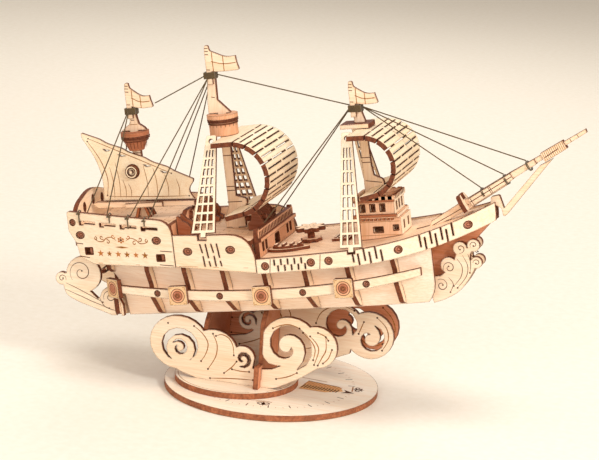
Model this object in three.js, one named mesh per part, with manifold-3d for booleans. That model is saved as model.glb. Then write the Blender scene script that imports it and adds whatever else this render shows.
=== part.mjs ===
// A laser-cut plywood sailing ship riding a stand of scrolled waves on a round, compass-marked base.
//
// Frame: millimetres, +Z up, +X to the bow, +Y to port. The origin is the centre of the base disc's
// underside. The ship sits in its own group, pitched bow up; its x runs along the keel, its y is 0 on
// the keel and its z is measured square to the keel from the level of the origin.

import * as THREE from 'three';
import { mergeVertices } from 'three/addons/utils/BufferGeometryUtils.js';
import Module from 'manifold-3d';

const wasm = await Module();
wasm.setup();

// ---------------------------------------------------------------- driving dimensions, mm

const PLY = 2.4;              // plywood of the ship and the waves
const BASE_PLY = 3;           // plywood of the two discs
const THIN = 1.3;             // flexible sheet of the hull skin
const SHEET = 1.5;            // thin flags and lateen sail
const GAP = 0.3;              // clearance between neighbouring pieces
const PITCH_DEG = 10;         // bow-up pitch of the ship on its waves
const SHIP_Y = -6;            // keel plane of the ship in the base's frame

const BASE_R = 54;
const STAND_R = 31.2;
const STAND_X = -16.6;
const STAND_TOP = 2 * BASE_PLY;
const WAVE_FRONT_Y = -20;
const WAVE_REAR_Y = 8;
const WAVE_BACK_Y = 19;
const BRACE_X = [-30, -0.6];  // the two cross braces that carry the keel

const BEAM_HALF = 36.2;       // half breadth over the rails, greatest at BEAM_X
const BEAM_X = 20;
const RAIL_START = 14.2;
const RAIL_END = 126.5;
const POOP_AFT = -84.9;
const POOP_FORE = -28;
const KEEL_Z = 44.8;          // lower edge of the hull
const RIB_X = [-45, -25, -5, 16, 36.5, 57.5, 79];
const STERN_FRAME_X = -66;
const POOP_DECK_Z = 92.5;
const QUARTER_DECK_Z = 84.4;
const WALE_INSET = 3.5;       // wale's outer face inside the rail's outer face
const ROSETTE = 9.6;          // square bosses on the wale
const THREAD_R = 0.3;

// ---------------------------------------------------------------- ship's lines

// Half breadth over the rails at station x.
function halfBreadth(x) {
  if (x < BEAM_X) return BEAM_HALF - 0.000925 * (BEAM_X - x) ** 2;
  return BEAM_HALF - 1.087e-4 * (x - BEAM_X) ** 2.7;
}

// Height of the waist rail's top edge at station x: nearly level amidships, sweeping up to the bow.
function railTop(x) {
  return x > 50 ? 77 + 0.00239 * (x - 50) ** 2 : 77 - 0.04 * (50 - x);
}

// Half breadth inside the rail, clear of it over a plate's thickness at station x.
function clearHalf(x) {
  const near = Math.min(halfBreadth(x - PLY / 2), halfBreadth(x + PLY / 2));
  return near - (PLY + GAP) * Math.hypot(1, halfBreadth(x + 0.5) - halfBreadth(x - 0.5));
}

const railBottom = (x) => railTop(x) - 7.2 - 0.013 * (x - RAIL_START);
const deckTop = (x) => railTop(x) - 0.8;
const waleCentre = (x) => 57 + 0.00085 * (x - 10) ** 2;
const waleHalfHeight = (x) => 2.6 - 0.00012 * (x - 15) ** 2;

// ---------------------------------------------------------------- drawing tools

// A closed outline from corners [x, y] or [x, y, r]; a corner with r is rounded over that length.
function outline(corners, Kind = THREE.Shape) {
  const path = new Kind();
  const count = corners.length;
  corners.forEach(([x, y, r = 0], i) => {
    const previous = corners[(i + count - 1) % count];
    const next = corners[(i + 1) % count];
    const before = new THREE.Vector2(previous[0] - x, previous[1] - y);
    const after = new THREE.Vector2(next[0] - x, next[1] - y);
    const room = Math.min(before.length() - (previous[2] ?? 0), after.length() - (next[2] ?? 0)) - 0.02;
    const reach = Math.max(0, Math.min(r, room));
    before.setLength(reach);
    after.setLength(reach);
    if (i === 0) path.moveTo(x + before.x, y + before.y);
    else path.lineTo(x + before.x, y + before.y);
    if (reach > 0) path.quadraticCurveTo(x, y, x + after.x, y + after.y);
  });
  path.closePath();
  return path;
}

const hole = (corners) => outline(corners, THREE.Path);
const rect = (x0, y0, x1, y1) => [[x0, y0], [x1, y0], [x1, y1], [x0, y1]];

function disc(x, y, rx, ry = rx) {
  const shape = new THREE.Shape();
  shape.absellipse(x, y, rx, ry, 0, 2 * Math.PI);
  return shape;
}

function roundHole(x, y, rx, ry = rx) {
  const path = new THREE.Path();
  path.absellipse(x, y, rx, ry, 0, 2 * Math.PI);
  return path;
}

// A crescent cut that follows a spiral from radius r0 to r1, tapering to a point at both ends.
function spiralCut(x, y, r0, r1, startDeg, turns, width, steps = 11) {
  const outer = [];
  const inner = [];
  for (let i = 0; i <= steps; i += 1) {
    const t = i / steps;
    const angle = THREE.MathUtils.degToRad(startDeg) + turns * 2 * Math.PI * t;
    const radius = THREE.MathUtils.lerp(r0, r1, t);
    const half = 0.12 + (width / 2) * Math.sin(Math.PI * t) ** 0.6 * (1 - 0.45 * t);
    outer.push([x + (radius + half) * Math.cos(angle), y + (radius + half) * Math.sin(angle)]);
    inner.push([x + (radius - half) * Math.cos(angle), y + (radius - half) * Math.sin(angle)]);
  }
  return outline([...outer, ...inner.reverse()]);
}

// ---------------------------------------------------------------- solids

function toSolid(geometry) {
  const bare = geometry.clone();
  bare.deleteAttribute('normal');
  bare.deleteAttribute('uv');
  const merged = mergeVertices(bare, 1e-4);
  return new wasm.Manifold(new wasm.Mesh({
    numProp: 3,
    vertProperties: new Float32Array(merged.attributes.position.array),
    triVerts: new Uint32Array(merged.index.array),
  }));
}

function toGeometry(solid) {
  const mesh = solid.getMesh();
  const geometry = new THREE.BufferGeometry();
  geometry.setAttribute('position', new THREE.BufferAttribute(mesh.vertProperties, 3));
  geometry.setIndex(new THREE.BufferAttribute(mesh.triVerts, 1));
  return geometry;
}

// Points of a closed path, without repeats and without points in the middle of a straight run.
function cleanPoints(path, segments) {
  const points = path.getPoints(segments);
  const distinct = points.filter((p, i) => p.distanceTo(points[(i + 1) % points.length]) > 1e-3);
  return distinct.filter((p, i) => {
    const to = p.clone().sub(distinct[(i + distinct.length - 1) % distinct.length]).normalize();
    const onward = distinct[(i + 1) % distinct.length].clone().sub(p).normalize();
    return Math.abs(to.cross(onward)) > 1e-4;
  });
}

// Plate of a shape with its holes, from z = 0 up, moved into its place by `put`.
function plate(shape, thickness, segments, put) {
  const block = (path, bottom, top) => {
    const closed = new THREE.Shape(cleanPoints(path, segments));
    const geometry = new THREE.ExtrudeGeometry(closed, { depth: top - bottom, bevelEnabled: false });
    return toSolid(put(geometry.translate(0, 0, bottom)));
  };
  const outer = block(shape, 0, thickness);
  return (shape.holes ?? []).reduce((whole, path) => whole.subtract(block(path, -1, thickness + 1)),
      outer);
}

// Plate lying flat: shape in x-y, from z up.
function flatPlate(shape, z, thickness, segments = 8) {
  return plate(shape, thickness, segments, (geometry) => geometry.translate(0, 0, z));
}

// Plate standing along the ship: shape in x-z, centred on y.
function sidePlate(shape, y, thickness, segments = 8) {
  return plate(shape, thickness, segments,
    (geometry) => geometry.rotateX(Math.PI / 2).translate(0, y + thickness / 2, 0));
}

// Plate standing across the ship: shape in y-z, centred on x.
function crossPlate(shape, x, thickness, segments = 8) {
  const axes = new THREE.Matrix4().makeBasis(
    new THREE.Vector3(0, 1, 0), new THREE.Vector3(0, 0, 1), new THREE.Vector3(1, 0, 0));
  return plate(shape, thickness, segments,
    (geometry) => geometry.applyMatrix4(axes).translate(x - thickness / 2, 0, 0));
}

function box(x0, x1, y0, y1, z0, z1) {
  const geometry = new THREE.BoxGeometry(x1 - x0, y1 - y0, z1 - z0);
  return toSolid(geometry.translate((x0 + x1) / 2, (y0 + y1) / 2, (z0 + z1) / 2));
}

// Round peg or drum between two points.
function peg(from, to, radius, sides = 12) {
  const start = new THREE.Vector3(...from);
  const along = new THREE.Vector3(...to).sub(start);
  const geometry = new THREE.CylinderGeometry(radius, radius, along.length(), sides);
  const turn = new THREE.Quaternion().setFromUnitVectors(new THREE.Vector3(0, 1, 0),
      along.clone().normalize());
  geometry.applyQuaternion(turn);
  geometry.translate(...start.addScaledVector(along, 0.5).toArray());
  return toSolid(geometry);
}

const join = (solids) => solids.reduce((whole, part) => whole.add(part));
const cut = (solid, cutters) => cutters.reduce((whole, part) => whole.subtract(part), solid);

// The same piece on the other side of the keel.
function mirrored(solid) {
  const geometry = toGeometry(solid);
  geometry.scale(1, -1, 1);
  const index = geometry.index.array;
  for (let i = 0; i < index.length; i += 3) [index[i], index[i + 1]] = [index[i + 1], index[i]];
  return toSolid(geometry);
}

// ---------------------------------------------------------------- materials

const wood = (color, roughness = 0.72) => new THREE.MeshStandardMaterial({ color, roughness,
    metalness: 0 });
const paleWood = wood(0xf0d3ab);
const baseWood = wood(0xeed2ac);
const skinWood = wood(0xecc9a3);
const thread = new THREE.MeshStandardMaterial({ color: 0x33291c, roughness: 0.9, metalness: 0 });

const model = new THREE.Group();
const ship = new THREE.Group();
ship.position.set(0, SHIP_Y, 0);
ship.rotation.y = THREE.MathUtils.degToRad(-PITCH_DEG);
model.add(ship);

function addNode(group, name, solid, material = paleWood) {
  const mesh = new THREE.Mesh(toGeometry(solid), material);
  mesh.name = name;
  group.add(mesh);
}

function addPair(name, starboard, material = paleWood) {
  addNode(ship, `${name}_starboard`, starboard, material);
  addNode(ship, `${name}_port`, mirrored(starboard), material);
}

// ---------------------------------------------------------------- stand

const braceHalfLap = (x, z0, z1) => box(x - PLY / 2 - 0.1, x + PLY / 2 + 0.1, -60, 60, z0, z1);
const LAP_Z = 17;             // height where the rear wave plate and the braces lap each other
const FRONT_LAP_Z = 10;       // the same for the front wave plate, low down behind the toe
const BACK_LAP_Z = 24;        // and for the back wave plate
const TOE_Y = -26;            // front end of the fore brace's toe
const TOE_TOP = 17.4;         // and its height
const WAVE_TENON_X = [-25, -9];   // tenons of the front and rear wave plates in the stand disc
const WAVE_TENON = 6;

// Scroll opening between a disc and a smaller one inside it, tapering away where the two meet.
function crescent(outer, inner, y) {
  return cut(sidePlate(disc(...outer), y, 2 * PLY, 7), [sidePlate(disc(...inner), y, 3 * PLY, 6)]);
}

const scrolls = (shapes, y) => shapes.map((shape) => sidePlate(shape, y, 2 * PLY, 1));
const lobesOf = (shapes, y, steps) => shapes.map((shape) => sidePlate(shape, y, PLY, steps));

function waveTenon(x, y) {
  return box(x - WAVE_TENON / 2, x + WAVE_TENON / 2, y - PLY / 2, y + PLY / 2, BASE_PLY, STAND_TOP + 1);
}

function waveFront() {
  const y = WAVE_FRONT_Y;
  const body = outline([[-33, STAND_TOP], [7, STAND_TOP, 3], [20, 13, 5], [29, 19.6, 4], [36, 25],
    [33, 36], [20, 34], [1, 20], [-12, 15], [-30, 26], [-46, 20], [-46, 9.6, 5]]);
  const lobes = lobesOf([disc(-43, 23.2, 15.4, 13.9), disc(-24.5, 20.8, 12.4, 11.6), disc(-9.4, 19.8,
      6.2),
    disc(14.6, 29, 15.1), disc(28.2, 30.6, 10.6)], y, 12);
  const valley = outline([[-4, 15.2], [1.5, 15.6], [6.1, 16.3], [10.7, 18.7], [6, 18.4, 2],
      [2.3, 19.8, 2],
    [0.4, 24.4], [-1, 32], [-4.5, 32], [-4.4, 26], [-3.2, 21]]);
  const cuts = scrolls([valley,
    spiralCut(-42.6, 20.6, 4.2, 1.6, 150, -1.05, 2),
    spiralCut(-9.2, 19.3, 4.3, 1, -110, 1.1, 2.3),
    spiralCut(13.2, 28.8, 12.4, 2.2, -62, 1.17, 6, 17)], y);
  const ring = crescent([-42.5, 21.9, 9.6, 8.8], [-42, 20.1, 7.6, 7.4], y);
  const plate = join([sidePlate(body, y, PLY, 5), ...lobes, ...WAVE_TENON_X.map((x) => waveTenon(x, y))]);
  return cut(plate, [...cuts, ring, braceHalfLap(BRACE_X[1], FRONT_LAP_Z, 50)]);
}

function waveRear() {
  const y = WAVE_REAR_Y;
  const body = outline([[-27, STAND_TOP], [8, STAND_TOP, 3], [22, 14, 5], [38, 21], [40, 34], [26, 43],
    [8, 41], [-8, 35], [-12, 26.5, 3], [-17, 23.4], [-26, 21.6], [-31, 18]]);
  const lobes = lobesOf([disc(-16.2, 31, 4.9), disc(-9.5, 31, 6.2, 5.8), disc(-2.5, 33, 7.4, 6.6),
    disc(5.5, 35, 8.6, 7.2), disc(31.4, 33.8, 13.4, 12.6), disc(47.6, 31.8, 12.6, 12.2)], y, 11);
  const cuts = scrolls([
    spiralCut(-16, 31, 4.6, 0.8, -20, 1.15, 1.8),
    spiralCut(32.4, 34.8, 7.6, 2.4, -30, 1.1, 7, 15),
    spiralCut(48, 30.2, 7.4, 2.4, 75, -0.95, 3.2, 13)], y);
  const plate = join([sidePlate(body, y, PLY, 5), ...lobes, ...WAVE_TENON_X.map((x) => waveTenon(x, y))]);
  return cut(plate, [...cuts, ...BRACE_X.map((x) => braceHalfLap(x, LAP_Z, 50))]);
}

function waveBack() {
  const y = WAVE_BACK_Y;
  const body = outline([[-34, LAP_Z - 4, 3], [6, LAP_Z - 4, 4], [36, 20], [44, 34], [26, 44], [-6, 38],
      [-34, 32, 4]]);
  const lobes = lobesOf([disc(30, 33.4, 12.4, 12), disc(47.2, 34, 12.6, 12.6)], y, 11);
  const moon = crescent([38, 36.2, 5, 5.8], [32.6, 34.6, 3.2, 3.2], y);
  const cuts = scrolls([spiralCut(46.4, 30.6, 6.4, 2.2, 20, -0.95, 3, 12)], y);
  const plate = join([sidePlate(body, y, PLY, 5), ...lobes]);
  return cut(plate, [...cuts, moon, ...BRACE_X.map((x) => braceHalfLap(x, BACK_LAP_Z, 60))]);
}

// Cross brace: stands on the stand disc, laps the wave plates and cradles the keel in its top notch.
// The fore one also reaches through the front wave plate and ends in a toe before it.
function brace(x, reachesFront) {
  const top = keelUndersideAt(x) - GAP;
  const behindFront = WAVE_FRONT_Y + PLY / 2 + 0.1;
  const front = reachesFront
    ? [[behindFront, TOE_TOP], [TOE_Y, TOE_TOP, 1], [TOE_Y, STAND_TOP]]
    : [[behindFront, STAND_TOP]];
  const shape = outline([...front, [9.6, STAND_TOP], [9.6, 14], [21, 18, 3], [21, 33, 4], [8, top - 5, 4],
    [SHIP_Y + 7, top], [SHIP_Y - 7, top], [behindFront, top - 6, 3]]);
  const plates = [[WAVE_REAR_Y, LAP_Z], [WAVE_BACK_Y, BACK_LAP_Z]];
  if (reachesFront) {
    plates.push([WAVE_FRONT_Y, FRONT_LAP_Z]);
  }
  const laps = plates.map(([y, z]) => box(-60, 80, y - PLY / 2 - 0.1, y + PLY / 2 + 0.1, 0, z + 0.1));
  const foot = box(x - PLY / 2, x + PLY / 2, -8.5, -3.5, BASE_PLY, STAND_TOP + 1);
  const solid = cut(crossPlate(shape, x, PLY, 6), laps);
  return keepLargest(solid).add(foot);
}

// World height of the hull's lower edge above world x.
function keelUndersideAt(x) {
  const pitch = THREE.MathUtils.degToRad(PITCH_DEG);
  const along = (x + KEEL_Z * Math.sin(pitch)) / Math.cos(pitch);
  return along * Math.sin(pitch) + KEEL_Z * Math.cos(pitch) - 0.5;
}

function keepLargest(solid) {
  const parts = solid.decompose();
  return parts.reduce((best, part) => (part.volume() > best.volume() ? part : best));
}

function standDisc() {
  const plate = flatPlate(disc(STAND_X, SHIP_Y, STAND_R), BASE_PLY, BASE_PLY, 36);
  const slot = (x0, x1, y0, y1) => box(x0 - 0.1, x1 + 0.1, y0 - 0.1, y1 + 0.1, 0, 20);
  const half = PLY / 2;
  const waveSlots = [WAVE_FRONT_Y, WAVE_REAR_Y].flatMap((y) => WAVE_TENON_X.map(
    (x) => slot(x - WAVE_TENON / 2, x + WAVE_TENON / 2, y - half, y + half)));
  const slots = [...waveSlots, ...BRACE_X.map((x) => slot(x - half, x + half, -8.5, -3.5))];
  return cut(plate, slots);
}

addNode(model, 'base_disc', flatPlate(disc(0, 0, BASE_R), 0, BASE_PLY, 48), baseWood);
addNode(model, 'stand_disc', standDisc(), baseWood);
addNode(model, 'wave_front', waveFront());
addNode(model, 'wave_rear', waveRear());
addNode(model, 'wave_back', waveBack());
addNode(model, 'brace_aft', brace(BRACE_X[0], false));
addNode(model, 'brace_fore', brace(BRACE_X[1], true));

// ---------------------------------------------------------------- curved walls that follow the rails

// Wall of even thickness inside the rail line between two stations, on the starboard side.
function railWall(x0, x1, inset, thickness, step = 9) {
  const steps = Math.ceil((x1 - x0) / step);
  const outer = [];
  const inner = [];
  for (let i = 0; i <= steps; i += 1) {
    const x = THREE.MathUtils.lerp(x0, x1, i / steps);
    const slope = (halfBreadth(x + 0.5) - halfBreadth(x - 0.5));
    const normal = new THREE.Vector2(-slope, -1).normalize();
    const at = (depth) => [x - normal.x * depth, -halfBreadth(x) - normal.y * depth];
    outer.push(at(inset));
    inner.push(at(inset + thickness));
  }
  return flatPlate(outline([...outer, ...inner.reverse()]), 30, 100);
}

const sideCut = (shape, segments = 5) => sidePlate(shape, -20, 60, segments);

function poopPanel() {
  const shape = outline([[POOP_AFT, 102.1, 1.5], [POOP_AFT - 0.1, 92.1], [-81.4, 86.2], [-80, 79],
      [-72.6, 75.1, 2],
    [POOP_FORE, 72.9], [POOP_FORE, 96.2, 8], [-38, 97.1, 1.5]]);
  shape.holes.push(roundHole(-82.2, 96.4, 1.3), roundHole(-78.6, 90, 2, 1.5), roundHole(-36.6, 86.6, 2,
      1.5),
    hole(rect(-76.6, 80.3, -72.6, 83.4)), hole(rect(-37.3, 76.4, -33.3, 79.4)));
  for (let i = 0; i < 4; i += 1) {
    const x = -78.4 + i * 11.4;
    const z = 96.6 - i * 1.15;
    shape.holes.push(hole([[x, z - 1.6], [x + 2.4, z - 1.7], [x + 2.4, z - 0.9], [x + 9, z - 1.5],
      [x + 9, z - 0.3], [x + 2.4, z + 0.5], [x, z + 0.6]]));
  }
  return railWall(-88, POOP_FORE + 2, 0, PLY).intersect(sideCut(shape));
}

function quarterPanel() {
  const x0 = POOP_FORE + GAP;
  const shape = outline([[x0, 88.9], [x0, 73.2], [13.9, 68.8], [13.9, 76, 1.5], [11.5, 88.2, 10.5],
      [-9.9, 88.4],
    [-9.9, 85.8], [-14.6, 86], [-14.6, 88.6]]);
  shape.holes.push(roundHole(-20.6, 80.7, 2, 1.5), roundHole(1.8, 80.9, 2, 1.5));
  for (let i = 0; i < 4; i += 1) {
    const x = -13.4 + i * 2.9;
    const split = i % 2 === 0 ? 79 : 76.4;
    shape.holes.push(hole([[x + 0.3, split + 0.8], [x + 0.9, split + 0.8], [x, 84.2], [x - 0.6, 84.2]]));
    shape.holes.push(hole([[x + 0.9, 73], [x + 1.5, 73], [x + 1, split - 0.8], [x + 0.4, split - 0.8]]));
  }
  return railWall(POOP_FORE - 2, 16, 0, PLY).intersect(sideCut(shape));
}

// Zig-zag of slits cut alternately from the rail's two edges, so that the strip bends.
function bendSlits(from, count, pitch) {
  const slits = [];
  for (let i = 0; i < count; i += 1) {
    const x = from + i * pitch;
    const low = railBottom(x);
    const high = railTop(x);
    const [z0, z1] = i % 2 === 0 ? [low + 2, high + 1] : [low - 1, high - 2];
    slits.push(outline([[x - 0.35, z0], [x + 0.35, z0], [x - 0.25, z1], [x - 0.95, z1]]));
  }
  return slits;
}

// Waist rail: one long bent plate with ports, staggered dashes and two runs of bending slits.
const DASH = 2.9;             // height of one dash, upper and lower rows meeting at mid height

function waistRail() {
  const top = [];
  const bottom = [];
  for (let x = RAIL_START; x < RAIL_END; x += 8) {
    top.push([x, railTop(x)]);
    bottom.push([x, railBottom(x)]);
  }
  const shape = outline([...bottom, [RAIL_END, railTop(RAIL_END) - 6], [RAIL_END, railTop(RAIL_END)],
      ...top.reverse()]);
  for (const x of [18.6, 41.6, 50.3, 83.3, 114.6]) {
    shape.holes.push(roundHole(x, (railTop(x) + railBottom(x)) / 2, 1.6));
  }
  for (let column = 0; column < 5; column += 1) {
    const x = 23.4 + column * 3.4;
    const middle = (railTop(x) + railBottom(x)) / 2;
    shape.holes.push(hole(rect(x - 0.35, middle, x + 0.35, middle + DASH)),
      hole(rect(x + 1.35, middle - DASH, x + 2.05, middle)));
  }
  const wall = railWall(RAIL_START - 1, RAIL_END + 1, 0, PLY, 7).intersect(sideCut(shape));
  const slits = [...bendSlits(62.4, 6, 2.7), ...bendSlits(93.6, 7, 2.4)];
  const tabSlot = outline(rect(59.6, railTop(61) - 1.8, 63.4, railTop(61) + 2));
  return cut(wall, [...slits, tabSlot].map((slit) => sideCut(slit)));
}

function wale() {
  const upper = [];
  const lower = [];
  for (let x = -62.6; x <= 92; x += 8.1) {
    upper.push([x, waleCentre(x) + waleHalfHeight(x)]);
    lower.push([x, waleCentre(x) - waleHalfHeight(x)]);
  }
  const shape = outline([...lower, ...upper.reverse()]);
  for (const x of [-41, -7.8, 34.8, 66]) shape.holes.push(roundHole(x, waleCentre(x), 1.2));
  const strip = railWall(-64, 94, WALE_INSET, PLY).intersect(sideCut(shape));
  const bosses = [-29.4, 14.4, 55.4].map((x) => {
    const plate = sidePlate(outline([[-ROSETTE / 2, -ROSETTE / 2, 1], [ROSETTE / 2, -ROSETTE / 2, 1],
      [ROSETTE / 2, ROSETTE / 2, 1], [-ROSETTE / 2, ROSETTE / 2, 1]]), 0, PLY, 2);
    return toSolid(toGeometry(plate).translate(x, -halfBreadth(x) + WALE_INSET - PLY / 2 + 0.5,
        waleCentre(x)));
  });
  const turned = toGeometry(box(-ROSETTE / 2, ROSETTE / 2, -PLY / 2, PLY / 2, -ROSETTE / 2, ROSETTE / 2));
  turned.rotateZ(THREE.MathUtils.degToRad(-35)).translate(-65, -24.8, waleCentre(-65));
  return join([strip, ...bosses, toSolid(turned)]);
}

addPair('poop_panel', poopPanel());
addPair('quarter_panel', quarterPanel());
addPair('waist_rail', waistRail());
addPair('wale', wale());

// ---------------------------------------------------------------- hull skin, ribs and keel

const SKIN_AFT = -78;
const SKIN_FORE = 97.5;
const SKIN_BANDS = [[48.6, 55.6], [59.6, 69.4]];   // heights where the ribs' fins come through the skin

// Section of the skin at station x, from its lower edge through the knuckle to its top edge.
function skinSection(x, outward) {
  const fullness = halfBreadth(x) / BEAM_HALF;
  const top = 71 + 0.00095 * (x - BEAM_X) ** 2;
  return [[14 * fullness + outward, KEEL_Z - outward * 0.3], [22.6 * fullness + outward, 57.6],
    [28.4 * fullness + outward, top]];
}

function skinSheet(x0, x1, out, inside) {
  const stations = 11;
  const positions = [];
  const index = [];
  const ring = 6;
  for (let i = 0; i <= stations; i += 1) {
    const x = THREE.MathUtils.lerp(x0, x1, i / stations);
    const loop = [...skinSection(x, out), ...skinSection(x, inside).reverse()];
    loop.forEach(([y, z]) => positions.push(x, -y, z));
  }
  for (let i = 0; i < stations; i += 1) {
    for (let k = 0; k < ring; k += 1) {
      const a = i * ring + k;
      const b = i * ring + ((k + 1) % ring);
      index.push(a, a + ring, b, b, a + ring, b + ring);
    }
  }
  for (const [p, q, r] of [[0, 1, 5], [1, 4, 5], [1, 2, 4], [2, 3, 4]]) {
    const end = stations * ring;
    index.push(p, q, r, end + p, end + r, end + q);
  }
  const geometry = new THREE.BufferGeometry();
  geometry.setAttribute('position', new THREE.Float32BufferAttribute(positions, 3));
  geometry.setIndex(index);
  return toSolid(geometry);
}

function hullSkin() {
  const shape = outline([[-76, 80], [-72.8, 75.5, 2], [-65, 68, 3], [-62, 60, 3], [-64.5, 40], [84, 40],
    [95.5, KEEL_Z + 0.5, 14], [96.8, 80]]);
  const sheet = skinSheet(SKIN_AFT, SKIN_FORE, 0, -THIN).intersect(sideCut(shape, 8));
  const slots = RIB_X.flatMap((x) => SKIN_BANDS.map(
    ([z0, z1]) => box(x - PLY / 2 - 0.15, x + PLY / 2 + 0.15, -60, 60, z0, z1)));
  const peepHole = sideCut(disc(-66.6, 72.8, 1.3), 6);
  return cut(sheet, [...slots, peepHole]);
}

// Cutter that lets the skin pass through a cross plate, but for the bands given in height.
function skinPassage(kept) {
  const thick = skinSheet(SKIN_AFT, SKIN_FORE, 0.25, -THIN - 0.25);
  const starboard = cut(thick, kept.map(([z0, z1]) => box(-90, 110, -60, 60, z0, z1)));
  return join([starboard, mirrored(starboard)]);
}

function ribTop(x) {
  if (x < POOP_FORE) return POOP_DECK_Z - PLY - GAP;
  if (x < RAIL_START) return QUARTER_DECK_Z - PLY - GAP;
  return deckTop(x - 2) - PLY - GAP;
}

const HALF_LAP_Z = 57;        // ribs sit in the keel up to here and the keel in the ribs above it

function rib(x, passage) {
  const b = halfBreadth(x);
  const inner = clearHalf(x);
  const belt = inner - 3.8;
  const side = [[0.4 * b, KEEL_Z + 0.4], [0.54 * b, KEEL_Z + 2, 1.2], [belt, waleCentre(x) - 3.4],
    [belt, waleCentre(x) + 3.4], [inner, 71], [inner, ribTop(x)]];
  const shape = outline([...side, ...side.map(([y, z, r]) => [-y, z, r]).reverse()]);
  shape.holes.push(hole([[5, 62, 2], [16, 62, 2], [18, 67, 2], [5, 67, 2]]), hole([[-5, 62, 2],
      [-16, 62, 2], [-18, 67, 2], [-5, 67, 2]]));
  const keelSlot = box(x - 5, x + 5, -PLY / 2 - 0.1, PLY / 2 + 0.1, HALF_LAP_Z, ribTop(x) + 1);
  return cut(crossPlate(shape, x, PLY, 3), [keelSlot, passage]);
}

// Stern frame: closes the hull aft and carries the two stern waves in its lower corners.
function sternFrame(passage) {
  const x = STERN_FRAME_X;
  const inner = clearHalf(x);
  const side = [[0.4 * inner, KEEL_Z + 0.4], [22.4, KEEL_Z + 3, 2], [22.4, 56], [17.4, 58],
      [17.4, 67.4], [inner, 72],
    [inner, ribTop(x)]];
  const shape = outline([...side, ...side.map(([y, z, r]) => [-y, z, r]).reverse()]);
  const keelSlot = box(x - 5, x + 5, -PLY / 2 - 0.1, PLY / 2 + 0.1, HALF_LAP_Z, 70.5);
  const waveSlots = [-1, 1].map((side_) => box(x - 5, x + 5, side_ * STERN_WAVE_Y - PLY / 2 - 0.1,
    side_ * STERN_WAVE_Y + PLY / 2 + 0.1, 53, 78));
  return keepLargest(cut(crossPlate(shape, x, PLY, 3), [keelSlot, passage, ...waveSlots]));
}

const STERN_WAVE_Y = 19.4;
const BOW_WAVE_Y = 3.2;

function keelPlate() {
  const deckUnderside = (x) => deckTop(x) - PLY - GAP;
  const shape = outline([[-69, KEEL_Z], [90, KEEL_Z, 6], [101, 52, 4], [106, 62, 4], [114.6, 72.5, 5],
      [125.2, 82.6, 2],
    [126.6, deckUnderside(124)], [118, deckUnderside(116)], [108, deckUnderside(107)],
    [98, deckUnderside(97)],
    [90, deckUnderside(88)], [84, 70], [-69, 70]]);
  const slots = [STERN_FRAME_X, ...RIB_X].map((x) => box(x - PLY / 2 - 0.1, x + PLY / 2 + 0.1, -5, 5,
      40, HALF_LAP_Z + 0.1));
  return cut(sidePlate(shape, 0, PLY, 6), slots);
}

const ribPassage = skinPassage(SKIN_BANDS);
addPair('hull_skin', hullSkin(), skinWood);
addNode(ship, 'keel_plate', keelPlate());
RIB_X.forEach((x, i) => addNode(ship, `rib_${i + 1}`, rib(x, ribPassage)));
addNode(ship, 'stern_frame', sternFrame(skinPassage([[30, 58]])));

// ---------------------------------------------------------------- decks and deck houses

function deckPlan(x0, x1, step = 8) {
  const side = [];
  const steps = Math.ceil((x1 - x0) / step);
  for (let i = 0; i <= steps; i += 1) {
    const x = THREE.MathUtils.lerp(x0, x1, i / steps);
    const slope = halfBreadth(x + 0.5) - halfBreadth(x - 0.5);
    side.push([x, halfBreadth(x) - (PLY + GAP + 0.1) * Math.hypot(1, slope)]);
  }
  return outline([...side, ...side.map(([x, y]) => [x, -y]).reverse()]);
}

const POOP_FRONT_X = -30.3;
const CABIN_X = 13.2;
const MAIN_MAST_X = -6.4;
const MIZZEN_X = -53.7;
const FORE_MAST_X = 64.4;
const HELM_Z = 90.8;
const CAPSTAN_X = 32;

function poopDeck() {
  const plate = flatPlate(deckPlan(-80.5, POOP_FRONT_X - PLY / 2 - GAP), POOP_DECK_Z - PLY, PLY);
  return plate.subtract(box(MIZZEN_X - 2.2, MIZZEN_X + 2.2, -PLY / 2 - 0.1, PLY / 2 + 0.1, 80, 100));
}

function quarterDeck() {
  const plate = flatPlate(deckPlan(POOP_FRONT_X - PLY / 2, CABIN_X - PLY / 2 - GAP),
      QUARTER_DECK_Z - PLY, PLY);
  return plate.subtract(box(-8.2, -4.4, -PLY / 2 - 0.1, PLY / 2 + 0.1, 80, 90));
}

// Main deck: one sheet that follows the sheer, with the capstan's peg standing on it.
function mainDeck() {
  const x0 = CABIN_X + PLY / 2 + GAP;
  const top = [];
  const bottom = [];
  for (let i = 0; i <= 13; i += 1) {
    const x = THREE.MathUtils.lerp(x0, 120, i / 13);
    top.push([x, deckTop(x)]);
    bottom.push([x, deckTop(x) - PLY]);
  }
  const sheet = sidePlate(outline([...bottom, ...top.reverse()]), 0, 90);
  const deck = sheet.intersect(flatPlate(deckPlan(x0, 120, 6), 60, 40));
  const heelSlot = box(86, 103.6, -PLY / 2 - 0.15, PLY / 2 + 0.15, 60, 100);
  return deck.subtract(heelSlot).add(peg([CAPSTAN_X, 0, deckTop(CAPSTAN_X) - 1],
      [CAPSTAN_X, 0, deckTop(CAPSTAN_X) + 4.2], 1, 16));
}

function windowRow(y0, count, pitch, z0, z1, width) {
  const holes = [];
  for (let i = 0; i < count; i += 1) {
    const y = y0 + i * pitch;
    holes.push(hole(rect(y - width / 2, z0, y + width / 2, z1)));
  }
  return holes;
}

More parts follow.
